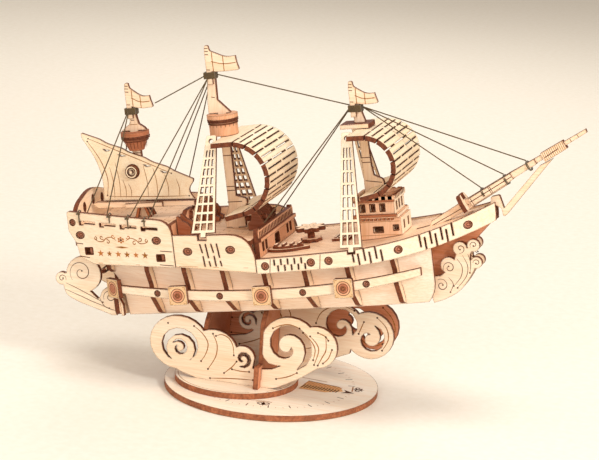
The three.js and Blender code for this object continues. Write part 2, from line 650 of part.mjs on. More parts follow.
// Cabin front under the quarterdeck's balustrade.
function cabinFront() {
  const half = 29.3;
  const shape = outline([[-half, 73.2], [half, 73.2], [half, 87], [half - 1.4, 89.2, 0.5],
      [half - 2.8, 88], [-half + 2.8, 88],
    [-half + 1.4, 89.2, 0.5], [-half, 87]]);
  shape.holes.push(...windowRow(-23, 2, 5.2, 77, 81.4, 2.4), ...windowRow(17.8, 2, 5.2, 77, 81.4, 2.4));
  shape.holes.push(hole([[-4, 75.6], [4, 75.6], [4, 81, 2], [-4, 81, 2]]));
  shape.holes.push(...windowRow(-26.4, 23, 2.4, 84.7, 87.1, 1.2));
  const ledge = box(CABIN_X, CABIN_X + PLY / 2 + 1.4, -half, half, 82.4, 84.2);
  return crossPlate(shape, CABIN_X, PLY, 3).add(ledge);
}

// Break of the poop, with the helm's axle standing out of it.
function poopFront() {
  const half = 30.4;
  const shape = outline([[-half, QUARTER_DECK_Z + GAP], [half, QUARTER_DECK_Z + GAP], [half, 93.4, 1],
      [8, 93.4, 1],
    [5, 95.4, 1], [-5, 95.4, 1], [-8, 93.4, 1], [-half, 93.4, 1]]);
  for (const y of [-20, 20]) {
    shape.holes.push(...windowRow(y - 2, 3, 2, 86.4, 91, 1));
  }
  const axle = peg([POOP_FRONT_X, 0, HELM_Z], [POOP_FRONT_X + 4.6, 0, HELM_Z], 0.9, 16);
  return crossPlate(shape, POOP_FRONT_X, PLY, 3).add(axle);
}

// Transom board with its arched top and three lights.
function transom() {
  const half = halfBreadth(-82) - PLY - GAP - 0.2;
  const shape = outline([[-half, 84], [half, 84], [half, 100, 3], [half - 5, 104.4, 4], [0, 109.4, 10],
      [-half + 5, 104.4, 4],
    [-half, 100, 3]]);
  for (const [y, z] of [[-12, 101], [0, 102.6], [12, 101]]) shape.holes.push(roundHole(y, z, 2, 2.6));
  return crossPlate(shape, -81.9, PLY, 6);
}

const HOUSE_HALF = 9.6;

function forecastle(x0, x1, z0, z1, lights) {
  const outer = box(x0, x1, -HOUSE_HALF, HOUSE_HALF, z0, z1);
  const inner = box(x0 + PLY, x1 - PLY, -HOUSE_HALF + PLY, HOUSE_HALF - PLY, z0 - 5, z1 - PLY);
  return cut(outer, [inner, ...lights]);
}

function forecastleLower() {
  const x0 = 58.6;
  const x1 = 81;
  const base = box(x0 - 1, x1 + 1, -20, 20, 70, 90).intersect(
    sidePlate(outline([[x0 - 1, deckTop(x0 - 1) + GAP], [(x0 + x1) / 2, deckTop((x0 + x1) / 2) + GAP],
        [x1 + 1, deckTop(x1 + 1) + GAP],
      [x1 + 1, 87.4], [x0 - 1, 87.4]]), 0, 40));
  const lights = [box(66.8, 71.8, -20, 20, 80.2, 83.2), box(76.8, 79.6, -20, 20, 81, 83.8),
    ...[-4, 4].map((y) => box(70, 90, y - 1.2, y + 1.2, 81.2, 85))];
  return forecastle(x0, x1, 75, 87.2, lights).intersect(base);
}

function forecastleUpper() {
  const x0 = 58.6;
  const x1 = 78.4;
  const lights = [62.4, 67.4, 72.4].map((x) => box(x - 1.3, x + 1.3, -20, 20, 90.6, 94.4));
  const front = [-5, 0, 5].map((y) => box(70, 90, y - 1.1, y + 1.1, 90.6, 94.8));
  const wall = forecastle(x0, x1, 87.5, 96.4, [...lights, ...front]);
  const parapet = cut(box(x0 - 0.6, x1 + 0.8, -HOUSE_HALF - 0.8, HOUSE_HALF + 0.8, 95.6, 98.2),
    [box(x0 + 1, x1 - 1, -HOUSE_HALF + 1, HOUSE_HALF - 1, 96.4, 100)]);
  const belt = box(x0 - 1.2, x1 + 1.6, -HOUSE_HALF - 1.2, HOUSE_HALF + 1.2, 87.5, 89);
  const hollow = box(x0 + PLY, x1 - PLY, -HOUSE_HALF + PLY, HOUSE_HALF - PLY, 80, 94);
  const mastSlot = box(FORE_MAST_X - 2.2, FORE_MAST_X + 2.2, -PLY / 2 - 0.1, PLY / 2 + 0.1, 90, 100);
  return cut(join([wall, parapet, belt]), [hollow, mastSlot]);
}

addNode(ship, 'poop_deck', poopDeck());
addNode(ship, 'quarter_deck', quarterDeck());
addNode(ship, 'main_deck', mainDeck());
addNode(ship, 'cabin_front', cabinFront());
addNode(ship, 'poop_front', poopFront());
addNode(ship, 'transom', transom());
addNode(ship, 'forecastle_lower', forecastleLower());
addNode(ship, 'forecastle_upper', forecastleUpper());

// ---------------------------------------------------------------- masts, tops and flags

const MAST_HALF = 2.2;
const LASH_MIZZEN = [-53.7, 0, 146.4];
const LASH_MAIN = [-10.05, 0, 161.5];
const LASH_FORE = [61.9, 0, 140.6];

function mizzenMast() {
  const x = MIZZEN_X;
  const shape = outline([[x - 1.9, POOP_DECK_Z - 2], [x + 1.9, POOP_DECK_Z - 2],
      [x + 1.9, POOP_DECK_Z + GAP], [x + 4.4, POOP_DECK_Z + GAP],
    [x + 4.4, 94.4, 1], [x + MAST_HALF, 98], [x + MAST_HALF, 136.4], [-47.3, 136.4],
    [-47.9, 137.6, 0.6], [-50.8, 139.6],
    [-51.6, 143], [-52.2, 150.4], [-55.4, 150.4], [-55.2, 140], [-57.4, 138.6], [-60.3, 136.4],
    [x - MAST_HALF, 136.4],
    [x - MAST_HALF, 98], [x - 4.4, 94.4, 1], [x - 4.4, POOP_DECK_Z + GAP], [x - 1.9, POOP_DECK_Z + GAP]]);
  return sidePlate(shape, 0, PLY, 3);
}

function mainMast() {
  const x = MAIN_MAST_X;
  const shape = outline([[-8.1, QUARTER_DECK_Z - 2], [-4.5, QUARTER_DECK_Z - 2],
      [-4.5, QUARTER_DECK_Z + GAP], [-0.8, QUARTER_DECK_Z + GAP],
    [-0.8, 90, 2], [-1.4, 94.2, 1], [1.2, 96.2, 1], [1.1, 99, 1], [x + MAST_HALF, 100.6],
    [x + MAST_HALF, 142.4], [-2.1, 142.4],
    [-2.8, 143.4, 0.5], [-8.2, 149], [-7.9, 160], [-8.4, 166.4], [-11.6, 166.4], [-12, 160],
    [-13.2, 148.6], [-13.4, 142.4],
    [x - MAST_HALF, 142.4], [x - MAST_HALF, 96], [-11.2, 89], [-11.2, QUARTER_DECK_Z + GAP],
    [-8.1, QUARTER_DECK_Z + GAP]]);
  return sidePlate(shape, 0, PLY, 3);
}

// Fore mast with its flat top platform.
function foreMast() {
  const x = FORE_MAST_X;
  const roof = 96.4 + GAP;
  const shape = outline([[x - 2, 95], [x + 2, 95], [x + 2, roof], [70.4, roof], [70.6, 99.4, 1],
      [72.4, 102.4, 1], [71.8, 105, 1], [67.4, 107.2],
    [x + MAST_HALF, 112], [x + 1.6, 134], [64.2, 140], [63.8, 145.6], [60.2, 145.6], [60.5, 134],
    [x - MAST_HALF, 131], [x - MAST_HALF, roof],
    [x - 2, roof]]);
  const platform = flatPlate(outline([[54.4, -6], [69.2, -6, 1.5], [69.2, 6, 1.5],
      [54.4, 6]]), 131.2, 2.2, 3);
  return sidePlate(shape, 0, PLY, 3).add(platform);
}

// Crow's nest: a drum with two discs at its rim, threaded on the mast.
function nest(x, z, rimRadius, drumRadius, drumDepth, footRadius) {
  const profile = [[2.9, -drumDepth], [footRadius, -drumDepth], [drumRadius, -0.2],
      [rimRadius - 0.9, 0], [rimRadius - 0.9, 2],
    [rimRadius, 2.2], [rimRadius, 4.4], [2.9, 4.4], [2.9, -drumDepth]];
  const geometry = new THREE.LatheGeometry(profile.map(([r, h]) => new THREE.Vector2(r, h)), 20);
  return toSolid(geometry.rotateX(Math.PI / 2).translate(x, 0, z));
}

// Flag on its pole: one thin plate beside the mast head, with a wavy top and fly.
function flag({ x, poleFoot, poleTop, height, fly, drop }) {
  const hoist = poleTop - 3;
  const foot = hoist - height;
  const shape = outline([[x - 1.4, poleFoot], [x + 1.3, poleFoot], [x + 1.3, foot, 0.5],
      [x + 0.5 * fly, foot - drop, 3],
    [x + fly + 1.4, foot + 0.4 - drop, 1], [x + fly + 0.2, foot + 4.4 - drop, 2],
    [x + fly, hoist - 2.4 - drop, 0.4],
    [x + 0.66 * fly, hoist - 3 - drop, 3], [x + 1.3, hoist + 0.4, 0.6], [x + 0.8, poleTop, 0.6],
    [x - 1, poleTop, 0.6],
    [x - 1.4, hoist]]);
  return sidePlate(shape, -PLY / 2 - 0.2 - SHEET / 2, SHEET, 4);
}

addNode(ship, 'mizzen_mast', mizzenMast());
addNode(ship, 'main_mast', mainMast());
addNode(ship, 'fore_mast', foreMast());
addNode(ship, 'mizzen_nest', nest(MIZZEN_X - 0.1, 131.6, 7.2, 6, 5.2, 3.8));
addNode(ship, 'main_nest', nest(MAIN_MAST_X - 0.4, 137.6, 7.7, 7.1, 6, 7.1));
addNode(ship, 'mizzen_flag', flag({ x: -54, poleFoot: 142.6, poleTop: 160.6, height: 8.8, fly: 11.4,
    drop: 1.4 }));
addNode(ship, 'main_flag', flag({ x: -10, poleFoot: 157, poleTop: 176.4, height: 10, fly: 14.4,
    drop: 0.4 }));
addNode(ship, 'fore_flag', flag({ x: 61, poleFoot: 136.4, poleTop: 154, height: 8, fly: 11.6,
    drop: 0.8 }));

// ---------------------------------------------------------------- shrouds and sails

// Ladder of shrouds: a tapered grille, three openings wide, leaning in from the rail to the yard.
const STILE = 1.2;            // ladder's outer uprights
const BAR = 0.85;             // its two inner uprights
const RUNG = 1.2;

function ladder({ foot, head, footY, headY, footZ, headZ, footHalf, headHalf, rows }) {
  const height = Math.hypot(headZ - footZ, footY - headY);
  const lean = Math.atan2(footY - headY, headZ - footZ);
  const centre = (s) => THREE.MathUtils.lerp(foot, head, s / height);
  const half = (s) => THREE.MathUtils.lerp(footHalf, headHalf, s / height);
  const shape = outline([[foot - 1.3, -2.2], [foot + 1.3, -2.2], [foot + 1.3, 0], [foot + footHalf, 0],
      [head + headHalf, height, 1],
    [head - headHalf, height, 1], [foot - footHalf, 0], [foot - 1.3, 0]]);
  const eye = height - 2.9;
  shape.holes.push(roundHole(centre(eye), eye, 1.25));
  const first = 1.4;
  const pitch = (height - 6.4 - first) / rows;
  for (let row = 0; row < rows; row += 1) {
    const s0 = first + row * pitch;
    const s1 = s0 + pitch - RUNG;
    for (let column = 0; column < 3; column += 1) {
      const step = (s) => (2 * half(s) - 2 * STILE + BAR) / 3;
      const at = (s, edge) => centre(s) - half(s) + STILE + step(s) * column + edge * (step(s) - BAR);
      shape.holes.push(hole([[at(s0, 0), s0], [at(s0, 1), s0], [at(s1, 1), s1], [at(s1, 0), s1]]));
    }
  }
  const geometry = toGeometry(sidePlate(shape, 0, SHEET, 4));
  geometry.rotateX(-lean).translate(0, -footY, footZ);
  return toSolid(geometry);
}

// Square sail: a plywood sheet slit in rows so that it bends forward into a full belly.
function squareSail({ luff, headZ, footX, footZ, belly, bellyZ, radius, halfWidth, rows, mastNotches }) {
  const outer = [];
  const inner = [];
  const span = [THREE.MathUtils.degToRad(86), THREE.MathUtils.degToRad(-84)];
  const add = (x, z, nx, nz) => {
    outer.push([x + nx * PLY / 2, z + nz * PLY / 2]);
    inner.push([x - nx * PLY / 2, z - nz * PLY / 2]);
  };
  add(luff, headZ, 0.12, 0.99);
  const steps = 16;
  for (let i = 0; i <= steps; i += 1) {
    const angle = THREE.MathUtils.lerp(span[0], span[1], i / steps);
    add(belly + radius * Math.cos(angle), bellyZ + radius * Math.sin(angle), Math.cos(angle),
        Math.sin(angle));
  }
  add(footX, footZ, 0.4, -0.92);
  const sheet = sidePlate(outline([...outer, ...inner.reverse()]), 0, 2 * halfWidth);
  const slits = [];
  for (let row = 0; row < rows; row += 1) {
    const angle = THREE.MathUtils.lerp(span[0] - 0.04, span[1] + 0.1, row / (rows - 1));
    const lengths = row % 2 === 0 ? [[-1.1, -0.52], [-0.44, 0.44], [0.52, 1.1]] : [[-0.93, -0.05],
        [0.05, 0.93]];
    for (const [from, to] of lengths) {
      const geometry = new THREE.BoxGeometry(2 * PLY + 2, (to - from) * halfWidth, 0.7);
      geometry.translate(radius, ((from + to) / 2) * halfWidth, 0).rotateY(-angle).translate(belly, 0,
          bellyZ);
      slits.push(toSolid(geometry));
    }
  }
  return cut(sheet, [...slits, ...mastNotches]);
}

const YARD_HALF = 24.2;

const mainLadder = ladder({ foot: -11.2, head: -9.2, footY: 34.6, headY: 12, footZ: 89.4, headZ: 133.1,
  footHalf: 6, headHalf: 2.5, rows: 9 });
const foreLadder = ladder({ foot: 61.2, head: 58.4, footY: 31.6, headY: 9, footZ: 78.2, headZ: 130.1,
  footHalf: 5.4, headHalf: 2.6, rows: 8 });
addPair('main_shrouds', mainLadder);
addPair('fore_shrouds', foreLadder);
addNode(ship, 'main_sail', squareSail({ luff: -6.2, headZ: 130, footX: -3, footZ: 93.6, belly: 3,
    bellyZ: 112.8,
  radius: 17.6, halfWidth: YARD_HALF, rows: 17,
  mastNotches: [box(-12, 2, -1.6, 1.6, 80, 103), box(-12, -3.8, -1.6, 1.6, 120, 140)] }));
addNode(ship, 'fore_sail', squareSail({ luff: 62.2, headZ: 129.6, footX: 66, footZ: 99.8, belly: 69.6,
    bellyZ: 115.2,
  radius: 14.4, halfWidth: YARD_HALF, rows: 14,
  mastNotches: [box(50, 73.2, -1.6, 1.6, 90, 107.8), box(50, 67.2, -1.6, 1.6, 120, 140)] }));

// ---------------------------------------------------------------- lateen sail and boom

const LATEEN_Y = -PLY / 2 - 0.3 - SHEET / 2;

function lateenSail() {
  const yard = [[-81.6, 137.2, 0.8]];
  const waves = 5;
  for (let i = 1; i < waves; i += 1) {
    const t = i / waves;
    const x = -81.6 + 56.8 * t;
    const z = 137.2 - 26.4 * t;
    yard.push([x - 1.8, z + 1.5, 1.4], [x + 1.8, z - 0.9, 1.4]);
  }
  const shape = outline([...yard, [-24.6, 110.6, 0.8], [-25.2, 109, 0.6], [-28.4, 105.4, 3],
      [-25.4, 100.6], [-73.6, 102], [-72.6, 113, 6],
    [-75.4, 124, 6], [-81.4, 134.4, 0.8]]);
  shape.holes.push(hole([[-71, 128.4], [-69.4, 127, 0.5], [-66.6, 127.4], [-69.2, 127.9]]),
    hole([[-63.4, 125.2], [-61.6, 123.9, 0.5], [-58.6, 124.2], [-61.4, 124.7]]),
    hole([[-50.6, 119.4], [-48.8, 118, 0.5], [-45.8, 118.3], [-48.6, 118.9]]),
    hole([[-42, 115.8], [-40.2, 114.4, 0.5], [-37.2, 114.7], [-40, 115.3]]));
  const sail = sidePlate(shape, LATEEN_Y, SHEET, 4);
  const bossBack = LATEEN_Y - SHEET / 2;
  const boss = cut(peg([-56.3, bossBack + 0.2, 116.1], [-56.3, bossBack - 2.2, 116.1], 3.3, 24),
    [peg([-56.3, bossBack - 1.2, 116.1], [-56.3, bossBack - 4, 116.1], 1.9, 20)]);
  const pin = peg([-56.3, bossBack, 116.1], [-56.3, bossBack - 3, 116.1], 0.9, 12);
  return join([sail, boss, pin]);
}

function boom() {
  const shape = outline([[-79.6, 101, 1], [-76.6, 98.4], [-25.2, 97.4], [-25.2, 100], [-76.6, 101.6]]);
  const spar = sidePlate(shape, LATEEN_Y, 4.4, 2);
  const mastNotch = box(MIZZEN_X - 3, MIZZEN_X + 3, -PLY / 2 - GAP, 5, 90, 110);
  const jaw = box(MIZZEN_X - 8, MIZZEN_X + 12, LATEEN_Y - 3.4, LATEEN_Y, 98, 100.2);
  const sailFoot = box(-90, -20, LATEEN_Y - SHEET / 2 - 0.2, LATEEN_Y + SHEET / 2 + 0.2, 100.3, 104);
  return cut(spar.add(jaw), [mastNotch, sailFoot]);
}

addNode(ship, 'lateen_sail', lateenSail());
addNode(ship, 'boom', boom());

// ---------------------------------------------------------------- bowsprit and head

const SPRIT_SLOPE = THREE.MathUtils.degToRad(27.7);
const SPRIT_HEEL = [91, 79.6];

// Plate drawn along the bowsprit: u runs up the spar from its heel, v is square to it.
function alongSprit(points, y, thickness) {
  const corners = points.map(([u, v]) => {
    const [x, , z] = alongSpritPoint(u, v);
    return [x, z];
  });
  return sidePlate(outline(corners), y, thickness, 3);
}

function alongSpritPoint(u, v) {
  const c = Math.cos(SPRIT_SLOPE);
  const s = Math.sin(SPRIT_SLOPE);
  return [SPRIT_HEEL[0] + u * c - v * s, 0, SPRIT_HEEL[1] + u * s + v * c];
}

function bowsprit() {
  const core = alongSprit([[0, -1.2], [24, -3], [46, -2.6], [46.4, -1.4], [60, -1], [92.6, -0.9],
      [93, 0.9], [61, 1.6], [50, 2], [22, 2],
    [4, 1.6]], 0, PLY);
  const cheeks = alongSprit([[26, -2.4], [50.5, -1.6], [50.5, 1.6], [26, 1.6]], 0, 5.6);
  const upper = alongSprit([[50, -1.4], [64, -1.2], [64, 1.5], [50, 1.8]], 0, 4.4);
  const wrap = alongSprit([[68, -2.6], [80.6, -2.4], [80.6, 2], [68, 2.2]], 0, 3.8);
  return join([core, cheeks, upper, wrap]);
}

function headBrace() {
  const shape = outline([[123.6, 89.4], [126, 89.4, 0.8], [128.9, 87.6], [129.6, 83.4, 1],
      [131.4, 84.2, 0.8], [151.8, 105.8], [156.2, 110.3], [152.2, 108.5],
    [149.4, 107.2], [130.2, 87.6], [128.6, 94.2, 1], [124.4, 93.4, 0.5]]);
  return sidePlate(shape, 0, PLY, 3);
}

// Carved waves under the bow.
function bowWave() {
  const body = outline([[92, 43], [97.5, 44.4], [105.5, 48, 4], [111, 54.4, 4], [113.8, 59],
      [112, 63.6], [111.8, 66, 2], [114, 69],
    [108, 70], [105.4, 67], [103, 61], [97, 56.6], [91.6, 52], [91, 47]]);
  const lobes = [disc(101, 61.4, 4), disc(107.4, 69.4, 3.4), disc(114.2, 70.6, 3.1), disc(114.8, 62,
      2.9), disc(95.4, 52, 4.4)]
    .map((shape) => sidePlate(shape, -BOW_WAVE_Y, PLY, 9));
  return join([sidePlate(body, -BOW_WAVE_Y, PLY, 4), ...lobes]);
}

// Carved waves at the stern quarter.
function sternWave() {
  const body = outline([[-63.4, 46.4], [-63.4, 52], [-66, 58], [-72, 60], [-76.4, 55.6], [-80.6, 60.4],
      [-78, 64], [-86, 66], [-92, 70],
    [-94, 64.6], [-93.4, 58.6, 3], [-87, 54.6, 3], [-76, 49.8, 3], [-70, 47]]);
  const lobes = [disc(-82.4, 68.6, 9.2), disc(-94.4, 67, 3.3), disc(-70, 56.4,
      4.8)].map((shape) => sidePlate(shape, -STERN_WAVE_Y, PLY, 11));
  const frameSlot = box(STERN_FRAME_X - PLY / 2 - 0.1, STERN_FRAME_X + PLY / 2 + 0.1, -40, 0, 30,
      53 + 0.1);
  return join([sidePlate(body, -STERN_WAVE_Y, PLY, 4), ...lobes]).subtract(frameSlot);
}

addNode(ship, 'bowsprit', bowsprit());
addNode(ship, 'head_brace', headBrace());
addPair('bow_wave', bowWave());
addPair('stern_wave', sternWave());

// ---------------------------------------------------------------- capstan and helm, which turn

// Star-edged disc with rounded points.
function star(points, outerRadius, innerRadius) {
  const shape = new THREE.Shape();
  for (let i = 0; i < points * 2; i += 1) {
    const radius = i % 2 === 0 ? outerRadius : innerRadius;
    const spread = (i % 2 === 0 ? 0.3 : 0.16) * (Math.PI / points);
    const angle = (i * Math.PI) / points;
    for (const side of [-1, 1]) {
      const a = angle + side * spread;
      if (i === 0 && side < 0) shape.moveTo(radius * Math.cos(a), radius * Math.sin(a));
      else shape.lineTo(radius * Math.cos(a), radius * Math.sin(a));
    }
  }
  shape.closePath();
  return shape;
}

function capstan() {
  const foot = deckTop(CAPSTAN_X) + GAP;
  const lower = flatPlate(star(8, 5.4, 4.5), foot, 1.6);
  const drum = flatPlate(disc(0, 0, 1.9), foot + 1.5, 4, 4);
  const upper = flatPlate(star(8, 7.6, 5.2), foot + 5.4, 2);
  const bore = flatPlate(disc(0, 0, 1.25), foot - 1, 6, 4);
  return toSolid(toGeometry(join([lower, drum, upper]).subtract(bore)).translate(CAPSTAN_X, 0, 0));
}

function helmWheel() {
  const x = POOP_FRONT_X + 2.9;
  const rim = disc(0, 0, 4.9);
  rim.holes.push(roundHole(0, 0, 3.7));
  const ring = crossPlate(rim, 0, 1.5, 9);
  const hub = crossPlate(disc(0, 0, 1.9), 0, 1.5, 6);
  const spokes = [];
  for (let i = 0; i < 4; i += 1) {
    const spoke = new THREE.BoxGeometry(1.5, 0.9, 12);
    spokes.push(toSolid(spoke.rotateX((i * Math.PI) / 4)));
  }
  const bore = crossPlate(disc(0, 0, 1.1), 0, 4, 6);
  return toSolid(toGeometry(join([ring, hub, ...spokes]).subtract(bore)).translate(x, 0, HELM_Z));
}

addNode(ship, 'capstan', capstan());
addNode(ship, 'helm_wheel', helmWheel());

// ---------------------------------------------------------------- rigging

// Thread drawn tight between two points.
const line = (from, to) => peg(from, to, THREAD_R, 8);

// Lashing wound round a masthead and a flag pole.
function lashing([x, , z], halfX) {
  const ring = new THREE.Shape();
  const y0 = -PLY / 2 - SHEET - 0.8;
  const y1 = PLY / 2 + 0.6;
  ring.moveTo(x - halfX, y0);
  for (const [px, py] of [[x + halfX, y0], [x + halfX, y1], [x - halfX, y1]]) ring.lineTo(px, py);
  ring.closePath();
  ring.holes.push(hole(rect(x - halfX + 0.6, y0 + 0.5, x + halfX - 0.6, y1 - 0.4)));
  return flatPlate(ring, z - 1.6, 3.2);
}

const FLY_OF_MIZZEN_FLAG = [-40.4, -2.2, 149.6];

// Point just inboard of the poop panel's slot at station x and height z.
const inboard = ([x, z]) => [x, halfBreadth(x) - PLY - 0.9, z];

function mizzenRigging() {
  const feet = [[-77.2, 96], [-65, 95]].map(inboard);
  const stays = feet.flatMap(([x, y, z]) => [line([-54, -3.4, 147.6],
      [x, -y, z]), line([-54, 1.8, 147.6], [x, y, z])]);
  return join([lashing(LASH_MIZZEN, 2.8), ...stays]);
}

function mainAndForeRigging() {
  const feet = [[-54, 94], [-43.2, 93]].map(inboard);
  const stays = feet.flatMap(([x, y, z]) => [line([-10.6, -3.35, 160.8],
      [x, -y, z]), line([-10.6, 1.65, 160.8], [x, y, z])]);
  const toMizzen = line([-12.7, -2.2, 161.4], FLY_OF_MIZZEN_FLAG);
  const toFore = line([-7.4, 0, 161.6], [59, 0, 142]);
  const abaft = [-14, 14].map((y) => line([59, Math.sign(y) * 0.8, 141], [13.2, y, 88.9]));
  const ahead = [34, 47, 60].map((u) => line([64.8, 0, 141], alongSpritPoint(u, 2.7)));
  return join([lashing(LASH_MAIN, 2.9), lashing(LASH_FORE, 3.2), ...stays, toMizzen, toFore, ...abaft,
      ...ahead]);
}

addNode(ship, 'mizzen_rigging', mizzenRigging(), thread);
addNode(ship, 'main_and_fore_rigging', mainAndForeRigging(), thread);

export default model;
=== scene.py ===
from math import cos, hypot, pi, radians, sin

import bpy
from mathutils import Matrix, Vector
from mathutils.bvhtree import BVHTree


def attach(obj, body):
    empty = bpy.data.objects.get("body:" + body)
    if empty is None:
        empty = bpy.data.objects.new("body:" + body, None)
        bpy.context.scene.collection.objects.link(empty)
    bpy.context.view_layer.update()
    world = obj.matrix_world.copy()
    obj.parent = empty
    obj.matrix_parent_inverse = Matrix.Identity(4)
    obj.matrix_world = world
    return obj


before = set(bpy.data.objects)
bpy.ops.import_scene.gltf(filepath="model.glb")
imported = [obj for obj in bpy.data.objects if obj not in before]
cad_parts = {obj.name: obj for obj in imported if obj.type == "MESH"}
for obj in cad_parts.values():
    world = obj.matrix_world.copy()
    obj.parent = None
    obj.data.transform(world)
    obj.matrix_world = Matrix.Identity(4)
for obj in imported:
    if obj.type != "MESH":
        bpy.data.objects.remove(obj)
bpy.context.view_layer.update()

MM = 0.001
ROOT = "ship_and_stand"
PLY = 2.4
PITCH = radians(10)
SHIP_Y = -6.0
WAVE_FRONT_Y = -20
WAVE_REAR_Y = 8
WAVE_BACK_Y = 19
BASE_TOP = 3
STAND_DISC_TOP = 6
POOP_DECK_Z = 92.5
QUARTER_DECK_Z = 84.4
WALE_INSET = 3.5              # wale's outer face inside the rail's
BOSS_INSET = 1.6              # face of the wale's bosses inside the rail's
BOSS_X = (-29.4, 14.4, 55.4)
WALE_PORT_X = (-41, -7.8, 34.8, 66)
RAIL_PORT_X = (18.6, 41.6, 50.3, 83.3, 114.6)
LIFT = 0.03                   # how far engraving stands proud, so that it shows
SPRIT_SLOPE = radians(27.7)
SPRIT_HEEL_X = 91
SPRIT_HEEL_Z = 79.6
CAPSTAN_X = 32
CAPSTAN_HEAD = 7.75           # just above the capstan's head, over the deck


# ---------- frames of the CAD, in mm

def ship(x, y, z):
    """Point of the ship's own frame, in the row frame, in metres."""
    c, s = cos(PITCH), sin(PITCH)
    return Vector((x * c - z * s, y + SHIP_Y, x * s + z * c)) * MM


def stand(x, y, z):
    return Vector((x, y, z)) * MM


def half_breadth(x):
    if x < 20:
        return 36.2 - 0.000925 * (20 - x) ** 2
    return 36.2 - 1.087e-4 * (x - 20) ** 2.7


def rail_top(x):
    return 77 + 0.00239 * (x - 50) ** 2 if x > 50 else 77 - 0.04 * (50 - x)


def rail_bottom(x):
    return rail_top(x) - 7.2 - 0.013 * (x - 14.2)


def deck_top(x):
    return rail_top(x) - 0.8


def wale_centre(x):
    return 57 + 0.00085 * (x - 10) ** 2


SHIP_AXES = Matrix.Rotation(-PITCH, 3, "Y")


def to_ship(vector):
    return SHIP_AXES.inverted() @ vector


# ---------- materials

def srgb(r, g, b):
    def channel(v):
        v /= 255
        return v / 12.92 if v <= 0.04045 else ((v + 0.055) / 1.055) ** 2.4
    return (channel(r), channel(g), channel(b), 1)


def new_material(name):
    material = bpy.data.materials.new(name)
    material.use_nodes = True
    tree = material.node_tree
    shader = tree.nodes["Principled BSDF"]
    return material, tree, shader


def set_inputs(node, **values):
    """Sets inputs by name, with _ for each space."""
    for name, value in values.items():
        node.inputs[name.replace("_", " ")].default_value = value


def mix_colours(tree, factor, a, b):
    node = tree.nodes.new("ShaderNodeMix")
    node.data_type = "RGBA"
    for socket, value in ((node.inputs[0], factor), (node.inputs[6], a), (node.inputs[7], b)):
        if isinstance(value, (tuple, float, int)):
            socket.default_value = value
        else:
            tree.links.new(value, socket)
    return node.outputs[2]


def ramp(tree, source, stops):
    node = tree.nodes.new("ShaderNodeValToRGB")
    elements = node.color_ramp.elements
    while len(elements) > 1:
        elements.remove(elements[-1])
    for i, (position, colour) in enumerate(stops):
        element = elements[0] if i == 0 else elements.new(position)
        element.position = position
        element.color = colour if isinstance(colour, tuple) else (colour, colour, colour, 1)
    tree.links.new(source, node.inputs[0])
    return node.outputs[0]


def noise(tree, vector, scale, detail=3.0, roughness=0.55, distortion=0.0):
    node = tree.nodes.new("ShaderNodeTexNoise")
    set_inputs(node, Scale=scale, Detail=detail, Roughness=roughness, Distortion=distortion)
    tree.links.new(vector, node.inputs["Vector"])
    return node.outputs[0]


def stretched(tree, scale, shift=(0, 0, 0), turn=(0, 0, 0)):
    coordinates = tree.nodes.new("ShaderNodeTexCoord")
    mapping = tree.nodes.new("ShaderNodeMapping")
    set_inputs(mapping, Scale=scale, Location=shift, Rotation=turn)
    tree.links.new(coordinates.outputs["Object"], mapping.inputs["Vector"])
    return mapping.outputs[0]


def edge_mask(tree, radius, low, high):
    """1 within about radius of a cut edge, 0 on open faces."""
    bevel = tree.nodes.new("ShaderNodeBevel")
    bevel.samples = 4
    set_inputs(bevel, Radius=radius)
    geometry = tree.nodes.new("ShaderNodeNewGeometry")
    dot = tree.nodes.new("ShaderNodeVectorMath")
    dot.operation = "DOT_PRODUCT"
    tree.links.new(bevel.outputs[0], dot.inputs[0])
    tree.links.new(geometry.outputs["True Normal"], dot.inputs[1])
    return ramp(tree, dot.outputs["Value"], [(low, 1.0), (high, 0.0)])


GRAIN = {"x": (9, 190, 190), "y": (190, 9, 190), "z": (190, 190, 9)}


def wood_face(name, grain, tone, shift, rim=0.0008):
    """Face of pale birch plywood: long streaks, soft flecks, a scorched rim along every cut, widened and
    darkened to also stand for painted shade in the cut walls.
    """
    material, tree, shader = new_material(name)
    along = stretched(tree, GRAIN[grain], shift, (0, 0, 0) if grain != "x" else (0, -PITCH, 0))
    broad = stretched(tree, tuple(v * 0.22 for v in GRAIN[grain]), shift)
    streaks = noise(tree, along, 9.0, 5.0, 0.6, 0.25)
    clouds = noise(tree, broad, 3.0, 3.0, 0.5, 0.8)
    pores = noise(tree, along, 42.0, 2.0, 0.7)
    r, g, b = tone
    pale = srgb(min(255, r + 8), min(255, g + 9), min(255, b + 12))
    deep = srgb(r - 15, g - 26, b - 36)
    colour = ramp(tree, streaks, [(0.34, deep), (0.6, pale)])
    cloud_dark = srgb(r - 8, g - 15, b - 24)
    cloud_pale = srgb(min(255, r + 6), min(255, g + 6), b + 8)
    clouds_colour = ramp(tree, clouds, [(0.35, cloud_dark), (0.66, cloud_pale)])
    colour = mix_colours(tree, 0.5, colour, clouds_colour)
    pore_mask = ramp(tree, pores, [(0.66, 0.0), (0.8, 0.3)])
    colour = mix_colours(tree, pore_mask, colour, srgb(r - 60, g - 80, b - 90))
    halo = edge_mask(tree, rim * 1.9, 0.6, 0.995)
    colour = mix_colours(tree, mix_value(tree, halo, 0.5), colour, srgb(214, 156, 110))
    # dark rim: real laser scorch, made as wide as the shade in the cut walls, so partly painted shade
    scorch_and_shade = edge_mask(tree, rim, 0.76, 0.97)
    colour = mix_colours(tree, mix_value(tree, scorch_and_shade, 0.95), colour, srgb(58, 28, 16))
    tree.links.new(colour, shader.inputs["Base Color"])
    rough = ramp(tree, streaks, [(0.3, 0.74), (0.7, 0.58)])
    tree.links.new(rough, shader.inputs["Roughness"])
    set_inputs(shader, Specular_IOR_Level=0.3)
    roughen(tree, shader, streaks, 0.22, 0.00008)
    return material


